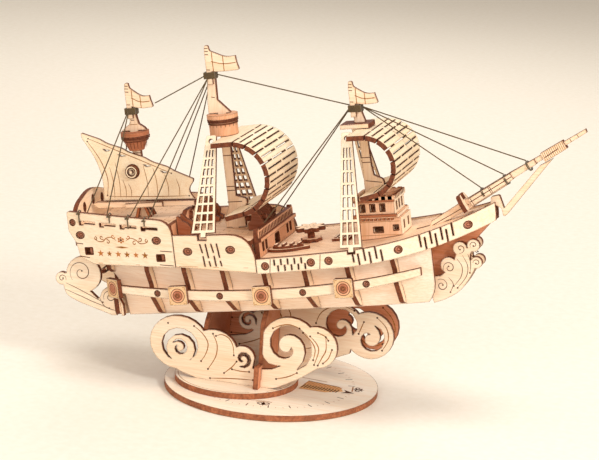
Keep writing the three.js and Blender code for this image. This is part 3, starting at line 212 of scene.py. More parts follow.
def mix_value(tree, value, factor):
    node = tree.nodes.new("ShaderNodeMath")
    node.operation = "MULTIPLY"
    node.inputs[1].default_value = factor
    tree.links.new(value, node.inputs[0])
    return node.outputs[0]


def roughen(tree, shader, height, strength, distance):
    bump = tree.nodes.new("ShaderNodeBump")
    set_inputs(bump, Strength=strength, Distance=distance)
    tree.links.new(height, bump.inputs["Height"])
    tree.links.new(bump.outputs[0], shader.inputs["Normal"])


def laser_edge(name, tone, deep):
    """Cut edge of plywood: burnt red-brown plies with darker seams and fine striations."""
    material, tree, shader = new_material(name)
    plies = noise(tree, stretched(tree, (60, 60, 60)), 14.0, 4.0, 0.6)
    smoke = noise(tree, stretched(tree, (22, 22, 22), (3, 1, 2)), 6.0, 3.0, 0.5, 0.5)
    colour = ramp(tree, plies, [(0.3, srgb(*deep)), (0.68, srgb(*tone))])
    smoke_mask = ramp(tree, smoke, [(0.4, 0.0), (0.75, 0.55)])
    colour = mix_colours(tree, smoke_mask, colour, srgb(92, 46, 26))
    rim = edge_mask(tree, 0.00045, 0.72, 0.97)
    colour = mix_colours(tree, mix_value(tree, rim, 0.8), colour, srgb(58, 27, 15))
    tree.links.new(colour, shader.inputs["Base Color"])
    set_inputs(shader, Roughness=0.7, Specular_IOR_Level=0.28)
    roughen(tree, shader, plies, 0.4, 0.0001)
    return material


def burn_material(name, tone, deep):
    """Engraved line: charred unevenly along its length."""
    material, tree, shader = new_material(name)
    char = noise(tree, stretched(tree, (90, 90, 90)), 12.0, 3.0, 0.6)
    tree.links.new(ramp(tree, char, [(0.35, srgb(*deep)), (0.7, srgb(*tone))]), shader.inputs["Base Color"])
    set_inputs(shader, Roughness=0.85, Specular_IOR_Level=0.15)
    return material


def thread_material():
    """Dark waxed thread: the twist shows as fine slanting bands."""
    material, tree, shader = new_material("waxed_thread")
    wave = tree.nodes.new("ShaderNodeTexWave")
    wave.bands_direction = "DIAGONAL"
    set_inputs(wave, Scale=1.0, Distortion=1.5)
    tree.links.new(stretched(tree, (900, 900, 900)), wave.inputs["Vector"])
    colour = ramp(tree, wave.outputs[0], [(0.2, srgb(44, 32, 14)), (0.8, srgb(110, 86, 44))])
    tree.links.new(colour, shader.inputs["Base Color"])
    set_inputs(shader, Roughness=0.8, Sheen_Weight=0.3)
    roughen(tree, shader, wave.outputs[0], 0.6, 0.0001)
    return material


PALE = (252, 229, 203)
WARM = (250, 223, 194)
ROSY = (250, 216, 184)
FACE = {
    "side": wood_face("birch_side", "x", PALE, (0, 0, 0)),
    "side_b": wood_face("birch_side_b", "x", WARM, (5, 2, 9)),
    "cross": wood_face("birch_cross", "y", WARM, (2, 7, 1)),
    "upright": wood_face("birch_upright", "z", WARM, (4, 4, 0)),
    "deck": wood_face("birch_deck", "x", ROSY, (1, 9, 3)),
    "base": wood_face("birch_base", "x", (255, 240, 222), (8, 3, 5)),
    "skin": wood_face("birch_skin", "x", (252, 229, 209), (3, 3, 3)),
    "sail": wood_face("birch_sail", "y", (252, 231, 200), (6, 1, 4)),
    "shade": wood_face("birch_shade", "z", (226, 172, 136), (2, 2, 8)),
    # wall face: tan painted shade for the forecastle's side walls
    "wall": wood_face("birch_wall_painted_shade", "z", (236, 194, 160), (2, 7, 8), 0.0005),
    # brown face: painted shade for plates that sit in the hull's shadow (back wave plate, braces, keel
    # plate); the plywood itself may be as pale as the rest
    "brown": wood_face("birch_painted_shade_brown", "x", (212, 146, 112), (1, 6, 2)),
    "ladder": wood_face("birch_slender", "z", (252, 234, 208), (3, 1, 1), 0.0003),
}
EDGE = laser_edge("laser_cut_edge", (140, 76, 46), (78, 38, 22))
EDGE_BASE = laser_edge("laser_cut_edge_base", (196, 124, 84), (140, 78, 50))
BURN = burn_material("engraved_char", (112, 62, 34), (58, 30, 18))
CHAR = burn_material("engraved_deep_char", (82, 42, 20), (48, 24, 12))
BURN_LIGHT = burn_material("engraved_scorch", (188, 128, 66), (132, 84, 40))
SCORCH = burn_material("engraved_fill", (206, 140, 76), (176, 106, 54))
STAIN = wood_face("stained_birch", "x", (172, 106, 72), (7, 7, 2))
DARK = wood_face("smoked_trim", "x", (128, 76, 52), (1, 1, 7))
PLUG = wood_face("port_plug", "x", (190, 126, 100), (2, 9, 9))
WASH = burn_material("engraved_wash", (238, 196, 144), (222, 168, 110))
TAN = burn_material("rosette_tan", (238, 204, 162), (222, 180, 134))
THREAD = thread_material()


# ---------- carried-over CAD nodes: face or cut edge

def plan_normal(x, y):
    slope = half_breadth(x + 0.5) - half_breadth(x - 0.5)
    side = 1 if y > 0 else -1
    return Vector((-slope, side, 0)).normalized()


def is_face(kind, normal, centre):
    """Whether a polygon is its plate's face and not a cut edge, by how the plate lies."""
    if kind in ("x", "y", "z"):
        return abs(normal["xyz".index(kind)]) > 0.75
    if kind == "wall":
        return abs(normal.dot(plan_normal(centre.x, centre.y))) > 0.75
    if kind == "skin":
        return abs(normal.y) > 0.62 and abs(normal.x) < 0.6
    if kind == "house":
        return True
    if kind == "ladder":
        return abs(normal.y) > 0.75
    belly = Vector(kind)
    out = Vector((centre.x - belly.x, 0, centre.z - belly.y))
    if centre.x < belly.x:
        out = Vector((0, 0, centre.z - belly.y))
    return abs(normal.dot(out.normalized())) > 0.75


def dress(node, kind, face, edge=EDGE, in_ship=True):
    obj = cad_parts[node]
    mesh = obj.data
    mesh.materials.clear()
    mesh.materials.append(face)
    mesh.materials.append(edge)
    for polygon in mesh.polygons:
        normal = polygon.normal.copy()
        centre = polygon.center / MM
        if in_ship:
            normal = to_ship(normal)
            centre = to_ship(Vector((centre.x, centre.y - SHIP_Y, centre.z)))
        polygon.material_index = 0 if is_face(kind, normal, centre) else 1


def paint_lit_front(node):
    """Paints light on the house's forward walls: they get the paler ladder face, while the sides keep the
    darker wall face as painted shade.
    """
    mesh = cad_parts[node].data
    mesh.materials.append(FACE["ladder"])
    for polygon in mesh.polygons:
        if to_ship(polygon.normal).x > 0.9:
            polygon.material_index = 2


def dress_all():
    both = ("starboard", "port")
    dress("base_disc", "z", FACE["base"], EDGE_BASE, False)
    dress("stand_disc", "z", FACE["base"], EDGE_BASE, False)
    for node in ("wave_front", "wave_rear"):
        dress(node, "y", FACE["side"], EDGE, False)
    # painted shade: the back wave plate and the braces, under the hull, get the brown face
    dress("wave_back", "y", FACE["brown"], EDGE, False)
    for node in ("brace_aft", "brace_fore"):
        dress(node, "x", FACE["brown"], EDGE_BASE, False)
    for side in both:
        dress("hull_skin_" + side, "skin", FACE["skin"])
        dress("poop_panel_" + side, "wall", FACE["side"])
        dress("quarter_panel_" + side, "wall", FACE["side_b"])
        dress("waist_rail_" + side, "wall", FACE["side"])
        dress("wale_" + side, "wall", FACE["side"])
        dress("main_shrouds_" + side, "ladder", FACE["ladder"])
        dress("fore_shrouds_" + side, "ladder", FACE["ladder"])
        dress("bow_wave_" + side, "y", FACE["side"])
        dress("stern_wave_" + side, "y", FACE["side"])
    for node in ["rib_%d" % i for i in range(1, 8)] + ["stern_frame", "transom"]:
        dress(node, "x", FACE["cross"])
    for node in ("cabin_front", "poop_front"):
        dress(node, "x", FACE["shade"])
    for mast in ("mizzen", "main", "fore"):
        dress(mast + "_mast", "y", FACE["upright"])
        dress(mast + "_flag", "y", FACE["side_b"])
    for node in ("bowsprit", "head_brace", "boom"):
        dress(node, "y", FACE["side_b"])
    # painted shade: the keel plate gets the brown face
    dress("keel_plate", "y", FACE["brown"])
    dress("lateen_sail", "y", FACE["sail"])
    for node in ("poop_deck", "quarter_deck", "main_deck"):
        dress(node, "z", FACE["deck"])
    # forecastle houses: sides in the wall face as painted shade, fronts given painted light in a paler face
    for node in ("forecastle_lower", "forecastle_upper"):
        dress(node, "house", FACE["wall"])
        paint_lit_front(node)
    dress("mizzen_nest", "house", STAIN)
    dress("main_nest", "house", FACE["shade"])
    dress("main_sail", (3.0, 112.8), FACE["sail"])
    dress("fore_sail", (69.6, 115.2), FACE["sail"])
    dress("capstan", "z", FACE["side_b"])
    dress("helm_wheel", "x", FACE["cross"])
    for node in ("mizzen_rigging", "main_and_fore_rigging"):
        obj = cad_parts[node]
        obj.data.materials.clear()
        obj.data.materials.append(THREAD)


dress_all()


# ---------- mesh building

class Builder:
    """Gathers faces of one piece, then makes its object and lets it ride on its body."""

    def __init__(self, name, slot="plywood", body=ROOT):
        self.name = name
        self.slot = slot
        self.body = body
        self.points = []
        self.faces = []
        self.marks = []
        self.materials = []

    def material(self, material):
        if material not in self.materials:
            self.materials.append(material)
        return self.materials.index(material)

    def add(self, points, faces, material):
        start = len(self.points)
        self.points.extend(points)
        mark = self.material(material)
        for face in faces:
            self.faces.append([start + i for i in face])
            self.marks.append(mark)

    def ribbon(self, path, width, place, material=None, taper=False):
        """Engraved line along 2-D points, laid on a surface by place(a, b)."""
        count = len(path)
        points = []
        for i, (a, b) in enumerate(path):
            a0, b0 = path[max(i - 1, 0)]
            a1, b1 = path[min(i + 1, count - 1)]
            run = hypot(a1 - a0, b1 - b0) or 1
            half = width / 2
            if taper:
                half *= 0.35 + 0.65 * sin(pi * (i + 0.5) / count)
            da, db = -(b1 - b0) / run * half, (a1 - a0) / run * half
            points.append(place(a + da, b + db))
            points.append(place(a - da, b - db))
        faces = [(2 * i, 2 * i + 1, 2 * i + 3, 2 * i + 2) for i in range(count - 1)]
        self.add(points, faces, material or BURN)

    def patch(self, outline, place, material=None):
        self.add([place(a, b) for a, b in outline], [list(range(len(outline)))], material or BURN)

    def prism(self, outline, place, low, high, face, edge):
        """Plate of a convex or simple outline between two depths: place(a, b, depth)."""
        count = len(outline)
        top = [place(a, b, high) for a, b in outline]
        bottom = [place(a, b, low) for a, b in outline]
        self.add(top, [list(range(count))], face)
        self.add(bottom, [list(range(count))[::-1]], face)
        walls = [(i, i + count, (i + 1) % count + count, (i + 1) % count) for i in range(count)]
        self.add(top + bottom, walls, edge)

    def tube(self, path, radius, material, sides=8, closed=False):
        rings = []
        count = len(path)
        up = Vector((0.13, 0.21, 0.97)).normalized()
        for i, point in enumerate(path):
            before = path[(i - 1) % count] if closed else path[max(i - 1, 0)]
            after = path[(i + 1) % count] if closed else path[min(i + 1, count - 1)]
            along = (after - before).normalized()
            side = along.cross(up)
            side = side.normalized() if side.length > 1e-6 else Vector((1, 0, 0))
            lift = side.cross(along)
            r = radius(i / max(count - 1, 1)) if callable(radius) else radius
            rings.append([point + (side * cos(t) + lift * sin(t)) * r
                          for t in full_turn(sides)])
        points = [p for ring in rings for p in ring]
        faces = []
        spans = count if closed else count - 1
        for i in range(spans):
            for k in range(sides):
                a = i * sides + k
                b = i * sides + (k + 1) % sides
                c = ((i + 1) % count) * sides + (k + 1) % sides
                d = ((i + 1) % count) * sides + k
                faces.append((a, b, c, d))
        if not closed:
            faces.append(tuple(range(sides))[::-1])
            faces.append(tuple((count - 1) * sides + k for k in range(sides)))
        self.add(points, faces, material)

    def build(self, smooth=False):
        mesh = bpy.data.meshes.new(self.name)
        mesh.from_pydata([tuple(p) for p in self.points], [], self.faces)
        for material in self.materials:
            mesh.materials.append(material)
        for polygon, mark in zip(mesh.polygons, self.marks):
            polygon.material_index = mark
            polygon.use_smooth = smooth
        mesh.update()
        obj = bpy.data.objects.new(self.name, mesh)
        bpy.context.collection.objects.link(obj)
        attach(obj, self.body)
        return obj


def full_turn(count):
    return [2 * pi * k / count for k in range(count)]


def arc(cx, cy, rx, ry, start, end, steps):
    """Points of an elliptical arc, angles in degrees."""
    out = []
    for i in range(steps + 1):
        t = radians(start + (end - start) * i / steps)
        out.append((cx + rx * cos(t), cy + ry * sin(t)))
    return out


def spiral(cx, cy, r0, r1, start, turns, steps=26):
    out = []
    for i in range(steps + 1):
        f = i / steps
        t = radians(start) + turns * 2 * pi * f
        r = r0 + (r1 - r0) * f
        out.append((cx + r * cos(t), cy + r * sin(t)))
    return out


def box(a0, b0, a1, b1):
    return [(a0, b0), (a1, b0), (a1, b1), (a0, b1)]


def rectangle(a, b, half_a, half_b):
    return box(a - half_a, b - half_b, a + half_a, b + half_b)


def on_wave(y, side=-1):
    return lambda a, b: stand(a, y + side * (PLY / 2 + LIFT), b)


def on_hull(side, inset=0.0, lift=LIFT):
    return lambda x, z: ship(x, side * (half_breadth(x) - inset + lift), z)


def across(side):
    """Place for a plate square to the ship's side, measured outward from the middle plane."""
    return lambda a, b, d: ship(a, side * d, b)


def spline(a, b, c, d, t):
    """Catmull-Rom value between b and c."""
    square = 2 * a - 5 * b + 4 * c - d
    cube = 3 * b - a - 3 * c + d
    return 0.5 * (2 * b + (c - a) * t + square * t * t + cube * t ** 3)


def smooth(points, steps=5):
    """Curve through 2-D points."""
    out = []
    count = len(points)
    for i in range(count - 1):
        p0, p1 = points[max(i - 1, 0)], points[i]
        p2, p3 = points[i + 1], points[min(i + 2, count - 1)]
        for k in range(steps):
            t = k / steps
            out.append(tuple(spline(p0[j], p1[j], p2[j], p3[j], t) for j in (0, 1)))
    out.append(tuple(points[-1]))
    return out


def dot(piece, a, b, r, place, material=None):
    piece.patch(arc(a, b, r, r, 0, 330, 11), place, material)


def stroke(piece, points, place, width=0.4, material=None, dots=True):
    """Engraved curve whose ends are burnt deeper."""
    piece.ribbon(smooth(points), width * 1.3, place, material or BURN_LIGHT, taper=True)
    if dots:
        dot(piece, *points[0], width * 1.2, place, BURN)
        dot(piece, *points[-1], width * 1.2, place, BURN)


# ---------- engraving on the stand

def engrave_waves():
    piece = Builder("wave_engraving")
    front = [
        [(-35.5, 32.8), (-31.1, 29.8), (-27.8, 25.1), (-28.5, 19.7), (-30.9, 15.2)],
        [(-25.4, 30.2), (-23, 24.9), (-23.4, 18.6), (-27.1, 11.6)],
        [(-23.8, 29.3), (-20.7, 30.4), (-17, 29), (-14.7, 25.4), (-14, 20.6)],
        [(-12.4, 17.6), (-14.6, 14.5), (-18.6, 10.7)],
        [(-25.8, 7), (-18, 8), (-10.1, 8.8), (-3.4, 9.2)],
        [(-14.6, 13.3), (-10, 12.9), (-5.6, 13.2)],
        [(5.4, 37.4), (9.4, 39.4), (14, 40.4), (19, 39.2)],
        [(20.9, 37.2), (25.2, 33.6), (27.6, 29.4), (26.9, 24)],
        [(24.6, 35.9), (28.2, 32.5), (29.4, 28.7), (27.5, 21.6)],
        [(28.5, 38.2), (32.1, 37), (34, 35)],
        [(32.6, 36.6), (33.1, 30.1), (31.3, 25.8), (29.4, 21.6)],
        [(36.1, 30.6), (34.6, 26), (32, 23)],
        [(8.5, 11.6), (14.5, 13.6), (19, 16.2)],
    ]
    rear = [
        [(-9, 36), (-6.6, 33), (-4.7, 28.6)],
        [(-4.8, 37.6), (-2.6, 34), (-0.9, 30.3)],
        [(-0.4, 38.6), (1.2, 36), (2.4, 33)],
        [(4.4, 40.6), (6, 37.6), (6.4, 34)],
        [(19.6, 34.5), (21.6, 39.8), (26.3, 43.6), (33, 45.2), (39, 43.6)],
        [(44.3, 38.5), (43.2, 35.4), (42, 32)],
        [(51, 41.6), (56, 37), (57.4, 31), (54.6, 25)],
        [(-20, 18), (-12, 21), (-6, 24.6)],
        [(14, 20), (22, 22.4), (30, 22.6)],
    ]
    back = [
        [(20, 36), (24, 41), (30, 43.6), (35, 43)],
        [(38.6, 28), (42, 25), (47, 23.4), (52, 25)],
        [(51, 44), (56, 39), (58, 33), (56, 27)],
        [(-28, 28), (-16, 30), (-6, 33)],
        [(-28, 20), (-14, 21), (0, 24), (12, 27)],
    ]
    for side in (-1, 1):
        for lines, y in ((front, WAVE_FRONT_Y), (rear, WAVE_REAR_Y), (back, WAVE_BACK_Y)):
            for line in lines:
                stroke(piece, line, on_wave(y, side), 0.42)
        dot(piece, -49.2, 32.5, 0.5, on_wave(WAVE_FRONT_Y, side))
    piece.build()


def engrave_base():
    """Compass scale, ornaments and the needle engraved beside the stand."""
    piece = Builder("compass_engraving", "base_plywood")
    place = lambda a, b: stand(a, b, BASE_TOP + LIFT)
    for k in range(72):
        turn = radians(5 * k)
        a, b = cos(turn), sin(turn)
        if k % 3 == 0:
            piece.ribbon([(a * 38.8, b * 38.8), (a * 42.4, b * 42.4)], 0.55, place, BURN)
        else:
            piece.ribbon([(a * 41.2, b * 41.2), (a * 42.4, b * 42.4)], 0.26, place, BURN_LIGHT)
    for k in range(4):
        turn = radians(90 * k - 79)
        x, y = 36.6 * cos(turn), 36.6 * sin(turn)
        if k == 1:
            x, y = 43.8, 6.2
        c, s = cos(turn - pi / 2), sin(turn - pi / 2)
        turned = lambda p, q, x=x, y=y, c=c, s=s: place(x + p * c - q * s, y + p * s + q * c)
        for sign in (-1, 1):
            piece.ribbon(spiral(sign * 2, 0, 2, 0.4, 90, sign * 1.1, 18), 0.8, turned, BURN)
        piece.patch([(0, 3.4), (0.8, 0), (0, -3.4), (-0.8, 0)], turned, BURN)
        piece.ribbon([(-4, -2.8), (4, -2.8)], 0.6, turned, BURN_LIGHT)
    angle = radians(-5)
    c, s = cos(angle), sin(angle)
    needle = lambda p, q: place(13.4 + p * c - q * s, 2.6 + p * s + q * c) + Vector((0, 0, 0.00006))
    below = lambda p, q: needle(p, q) - Vector((0, 0, 0.00005))
    piece.patch([(3, -7.4), (17, -6.4), (24.4, -0.6), (21, 4.8), (3, 6.6)], below, WASH)
    for k in range(13):
        p = 4 + k * 1.5
        piece.ribbon([(p, 6.3 - 0.13 * k), (p - 0.9, 0.4)], 0.6, needle, SCORCH)
        piece.ribbon([(p, 0.2), (p - 0.5, -5.2 + 0.1 * k)], 0.72, needle, CHAR)
    piece.ribbon([(3, -7.3), (17, -6.3)], 0.5, needle, SCORCH)
    piece.ribbon([(3, 6.7), (21, 4.9)], 0.5, needle, BURN)
    piece.ribbon([(-3, 10.2), (12, 9.6)], 0.5, needle, BURN_LIGHT)
    piece.patch([(24, 2.2), (30.4, -0.6), (24, -3.4), (26, -0.6)], needle, BURN)
    piece.ribbon([(-8, -34.6), (9, -31.6)], 0.3, place, BURN_LIGHT)
    piece.build()
    rim = Builder("stand_ring_engraving", "base_plywood")
    level = lambda a, b: stand(a, b, STAND_DISC_TOP + LIFT)
    for start, end in ((195, 300), (318, 352), (20, 160)):
        rim.ribbon(arc(-16.6, SHIP_Y, 29.6, 29.6, start, end, 40), 0.3, level, BURN_LIGHT)
    rim.build()


# ---------- engraving on the hull

def ringed(piece, x, z, r, place, width=0.45):
    piece.ribbon(arc(x, z, r, r, 0, 360, 22), width, place, BURN)


def engrave_panels():
    piece = Builder("panel_engraving")
    for side in (-1, 1):
        place = on_hull(side)
        for x, z, rx, rz in ((-82.2, 96.4, 1.6, 1.6), (-78.6, 90, 2.3, 1.8), (-36.6, 86.6, 2.3, 1.8),
                             (-20.6, 80.7, 2.3, 1.8), (1.8, 80.9, 2.3, 1.8)):
            piece.ribbon(arc(x, z, rx, rz, 0, 360, 22), 0.5, place, BURN)
        for x, z, half_x, half_z in ((-74.6, 81.9, 2.2, 1.75), (-35.3, 77.9, 2.2, 1.7)):
            frame_window(piece, place, x - half_x, x + half_x, z - half_z, z + half_z, 0.5)
        for line in ([(-81.4, 86), (-77.6, 85.5)], [(-35.2, 81.4), (-28.8, 80.8)],
                     [(-80.3, 79.4), (-74.7, 78.5)], [(-36.2, 74.5), (-28.8, 73.8)]):
            piece.ribbon(line, 0.4, place, BURN)
        ornament(piece, place)
        for x0, x1 in ((-70, -47), (-26, -16), (-8, 10)):
            z0 = deck_line(x0) + 0.2
            piece.ribbon([(x0, z0), (x1, deck_line(x1) + 0.2)], 0.18, place, BURN_LIGHT)
        for x in RAIL_PORT_X:
            ringed(piece, x, (rail_top(x) + rail_bottom(x)) / 2, 1.85, place)
        for x in (21.2, 46.2):
            piece.ribbon([(x - 0.5, rail_bottom(x) + 0.3), (x + 0.4, rail_top(x) - 0.3)], 0.36, place, BURN)
    piece.build()


def port_plugs():
    """Small discs set back in the round ports of rails, panels and wales."""
    piece = Builder("port_plugs")
    for side in (-1, 1):
        holes = [(x, (rail_top(x) + rail_bottom(x)) / 2, 1.62, 1.62, 0) for x in RAIL_PORT_X]
        holes += [(x, wale_centre(x), 1.22, 1.22, WALE_INSET) for x in WALE_PORT_X]
        holes += [(-82.2, 96.4, 1.32, 1.32, 0), (-78.6, 90, 2.02, 1.52, 0), (-36.6, 86.6, 2.02, 1.52, 0),
                  (-20.6, 80.7, 2.02, 1.52, 0), (1.8, 80.9, 2.02, 1.52, 0)]
        for x, z, rx, rz, inset in holes:
            back = on_hull(side, inset + 0.9, 0)
            front = on_hull(side, inset + 0.88, 0)
            piece.patch(arc(x, z, rx, rz, 0, 350, 20), back, PLUG)
            piece.ribbon(arc(x, z, rx * 0.45, rz * 0.45, 0, 360, 14), 0.3, front, BURN)
        for x, z, half_z in ((-74.6, 81.85, 1.55), (-35.3, 77.9, 1.5)):
            back = on_hull(side, 1.4, 0)
            piece.patch(rectangle(x - 1, z, 1, half_z), back, BURN)
            piece.patch(rectangle(x + 1, z, 1, half_z), back, PLUG)
    piece.build()


def deck_line(x):
    return 75.6 - 0.052 * (x + 70)


def ornament(piece, place):
    """Scrolls round a flower above a row of small stars, on the poop panel."""
    cx, cz = -56, 87.2
    slope = -0.06
    at = lambda a, b: place(cx + a, cz + b + slope * a)
    for sign in (-1, 1):
        stem = [(2.6, -0.4), (5, 1.2), (8, 0.6), (10.4, -1.2), (13.4, -0.9), (14.8, 0.8)]
        scroll = smooth([(sign * a, b) for a, b in stem])
        piece.ribbon(scroll, 0.5, at, BURN_LIGHT, taper=True)
        for a, b, r, start in ((4.2, 1.7, 1.2, 200), (7.4, -1.2, 1.2, 60), (10.6, 0.9, 1.2, 220),
                               (14.2, 0.2, 1.0, 90)):
            curl = spiral(sign * a, b, r, 0.25, start if sign > 0 else 180 - start, sign * 0.95, 14)
            piece.ribbon(curl, 0.46, at, SCORCH if a < 6 else BURN_LIGHT)
    for k in range(6):
        turn = radians(60 * k + 30)
        a, b = 1.35 * cos(turn), 1.15 * sin(turn)
        piece.patch(arc(a, b, 0.62, 0.5, 0, 330, 9), at, SCORCH)
    dot(piece, 0, 0, 0.6, at, BURN)
    piece.patch([(-4, -3.6), (0, -3.1), (4, -3.6), (0, -4.1)], at, BURN_LIGHT)
    for k in range(6):
        a = -12.2 + k * 4.9
        size = (1.9, 1.6, 1.8, 1.8, 1.6, 1.9)[k]
        star_points = []
        for j in range(10):
            turn = radians(90 + 36 * j)
            r = size if j % 2 == 0 else size * 0.42
            star_points.append((a + r * cos(turn), -7.2 + r * sin(turn)))
        star_points.append((a, -7.2))
        rays = [(j, (j + 1) % 10, 10) for j in range(10)]
        piece.add([at(*p) for p in star_points], rays, BURN_LIGHT if k % 2 else SCORCH)


def engrave_wale():
    piece = Builder("wale_engraving")
    for side in (-1, 1):
        place = on_hull(side, WALE_INSET)
        for x in WALE_PORT_X:
            ringed(piece, x, wale_centre(x), 1.5, place, 0.5)
        for x in BOSS_X:
            y = side * (half_breadth(x) - BOSS_INSET + LIFT)
            rosette(piece, lambda a, b, x=x, y=y: ship(x + a, y, wale_centre(x) + b))
        c, s = cos(radians(35)), sin(radians(35))
        depth = PLY / 2 + LIFT
        x, y, z = -65, 24.8, wale_centre(-65)
        rosette(piece, lambda a, b: ship(x + a * c - depth * s, side * (y + a * s + depth * c), z + b))
    piece.build()


def rosette(piece, place):
    """Square boss: a tan ground, a ring, a brown centre and four corner marks."""
    square = rectangle(0, 0, 4.5, 4.5)
    normal = (place(1, 0) - place(0, 0)).cross(place(0, 1) - place(0, 0)).normalized()
    if normal.y * place(0, 0).y < 0:
        normal = -normal
    layer = lambda n: lambda a, b: place(a, b) + normal * n * 0.00001
    piece.patch(square, place, TAN)
    piece.patch(arc(0, 0, 3.5, 3.5, 0, 350, 24), layer(1), FACE["shade"])
    ringed(piece, 0, 0, 3.5, layer(2), 0.3)
    piece.patch(arc(0, 0, 2.4, 2.4, 0, 350, 20), layer(2), PLUG)
    ringed(piece, 0, 0, 2.4, layer(3), 0.3)
    for sx in (-1, 1):
        for sy in (-1, 1):
            corner = [(sx * 4.1, sy * 2.8), (sx * 4.1, sy * 4.1), (sx * 2.8, sy * 4.1)]
            piece.ribbon(corner, 0.26, layer(2), BURN_LIGHT)


def rosette_hubs():
    """Turned buttons in the middles of the wale's bosses."""
    piece = Builder("wale_hubs")
    for side in (-1, 1):
        for x in BOSS_X:
            y = half_breadth(x) - BOSS_INSET
            rings = [(1.5, 0.0), (1.5, 0.35), (1.1, 0.5), (0.9, 0.15), (0.7, 0.15), (0.5, 0.6)]
            points = []
            for r, out in rings:
                points += [ship(x + r * cos(t), side * (y + out), wale_centre(x) + r * sin(t))
                           for t in full_turn(18)]
            faces = []
            for j in range(len(rings) - 1):
                for k in range(18):
                    n = (k + 1) % 18
                    faces.append((j * 18 + k, j * 18 + n, (j + 1) * 18 + n, (j + 1) * 18 + k))
            faces.append([(len(rings) - 1) * 18 + k for k in range(18)])
            piece.add(points, faces, STAIN)
    piece.build()


def engrave_hull_waves():
    piece = Builder("carved_wave_engraving")
    bow = [
        (spiral(101.2, 60.2, 3.1, 0.7, 200, -1.25, 26), 0.4),
        (spiral(107.6, 69.4, 2.4, 0.5, 250, 1.0, 18), 0.4),
        (spiral(96.6, 51.6, 3.3, 0.6, 120, -1.3, 22), 0.4),
        (spiral(114.4, 70.8, 2.0, 0.5, 210, -0.9, 14), 0.36),
        (spiral(115, 62, 1.9, 0.5, 180, -0.9, 14), 0.36),
        (smooth([(105.4, 64.4), (107.6, 60.4), (106.6, 55.4), (102.6, 51)]), 0.34),
        (smooth([(108.4, 66), (110.4, 60.6), (109.2, 55.4), (104.4, 50)]), 0.34),
        (smooth([(111, 66.6), (112, 62), (111.2, 57.2)]), 0.34),
        (smooth([(112.2, 66.6), (113.2, 65.2), (114, 65.6)]), 0.3),
        (smooth([(100.4, 55.4), (102.4, 52), (100.6, 48)]), 0.34),
    ]
    stern = [
        (spiral(-83.6, 69.6, 6.3, 0.9, 215, -1.45, 34), 0.42),
        (smooth([(-92.6, 64.6), (-87.6, 62), (-80.8, 58), (-74, 53.8)]), 0.36),
        (smooth([(-93.4, 61.4), (-86, 57.8), (-79, 54.2), (-71, 50.6)]), 0.36),
        (spiral(-94.2, 67, 2.2, 0.5, 330, 1.1, 16), 0.36),
        (spiral(-69.8, 56.4, 3.6, 0.6, 200, -1.4, 26), 0.4),
        (smooth([(-75.6, 56.6), (-73.2, 51.6), (-67.6, 49.2)]), 0.34),
    ]
    for side in (-1, 1):
        for lines, y in ((bow, 3.2), (stern, 19.4)):
            place = lambda a, b, y=y: ship(a, side * (y + PLY / 2 + LIFT), b)
            for path, width in lines:
                piece.ribbon(path, width, place, BURN, taper=True)
                dot(piece, *path[-1], 0.42, place, BURN)
    piece.build()


# ---------- engraving on masts, flags and sails

def engrave_masts():
    piece = Builder("mast_engraving")
    bands = [(-53.7, 2.2, z) for z in (98.6, 104, 120, 125)]
    bands += [(-6.4, 2.2, z) for z in (103.4, 105.4, 121, 133)]
    bands += [(64.4, 2.2, 113.6), (64.4, 2.2, 116), (64.4, 2.0, 125), (64.2, 1.9, 129)]
    for side in (-1, 1):
        place = lambda a, b: ship(a, side * (PLY / 2 + LIFT), b)
        for x, half, z in bands:
            piece.ribbon([(x - half + 0.1, z), (x + half - 0.1, z)], 0.4, place, BURN)
        piece.ribbon([(-54.6, 141.6), (-52.8, 141.6)], 0.35, place, BURN)
        piece.ribbon([(-55.6, 139.4), (-51.4, 139.4)], 0.3, place, BURN_LIGHT)
        piece.ribbon([(-11, 150.6), (-9.2, 150.2)], 0.35, place, BURN)
        piece.ribbon([(-4.6, 92.4), (-8.6, 90.8)], 0.4, place, BURN)
        piece.ribbon([(-1.4, 97.6), (-9, 97.6)], 0.4, place, BURN)
        piece.ribbon([(71.2, 103.4), (63, 104.6)], 0.4, place, BURN)
    piece.build()


def between(points, x):
    """Height of a polyline at x."""
    for (x0, z0), (x1, z1) in zip(points, points[1:]):
        if x0 <= x <= x1:
            return z0 + (z1 - z0) * (x - x0) / (x1 - x0)
    return points[-1][1]


def engrave_flags():
    """Cross and bands burnt into the three flags."""
    piece = Builder("flag_engraving")
    flags = ((-54, 160.6, 8.8, 11.4, 1.4), (-10, 176.4, 10, 14.4, 0.4), (61, 154, 8, 11.6, 0.8))
    for x0, pole_top, height, fly, drop in flags:
        hoist = pole_top - 3
        foot = hoist - height
        top = [(x0 + 1.3, hoist + 0.2), (x0 + 0.4 * fly, hoist - 2 - 0.5 * drop),
               (x0 + 0.66 * fly, hoist - 2.7 - drop), (x0 + fly, hoist - 2.4 - drop)]
        low = [(x0 + 1.3, foot), (x0 + 0.5 * fly, foot - 0.8 * drop), (x0 + fly, foot + 0.6 - drop)]

        def at(t, share):
            x = x0 + 1.6 + (fly - 1.8) * t
            return x, between(low, x) * (1 - share) + between(top, x) * share

        for side in (-1, 1):
            y = -PLY / 2 - 0.2 - 0.75 + side * 0.78
            place = lambda a, b, y=y: ship(a, y, b)
            piece.ribbon([at(k / 12, 0.5) for k in range(13)], 0.42, place, BURN_LIGHT)
            for t in (0.5, 0.06):
                piece.ribbon([at(t, k / 6) for k in range(7)], 0.42, place, BURN_LIGHT)
            for z in (hoist + 1.6, hoist + 0.2, hoist - 1.4, foot + 1):
                piece.ribbon([(x0 - 1.2, z), (x0 + 0.6, z - 0.2)], 0.36, place, BURN)
    piece.build()


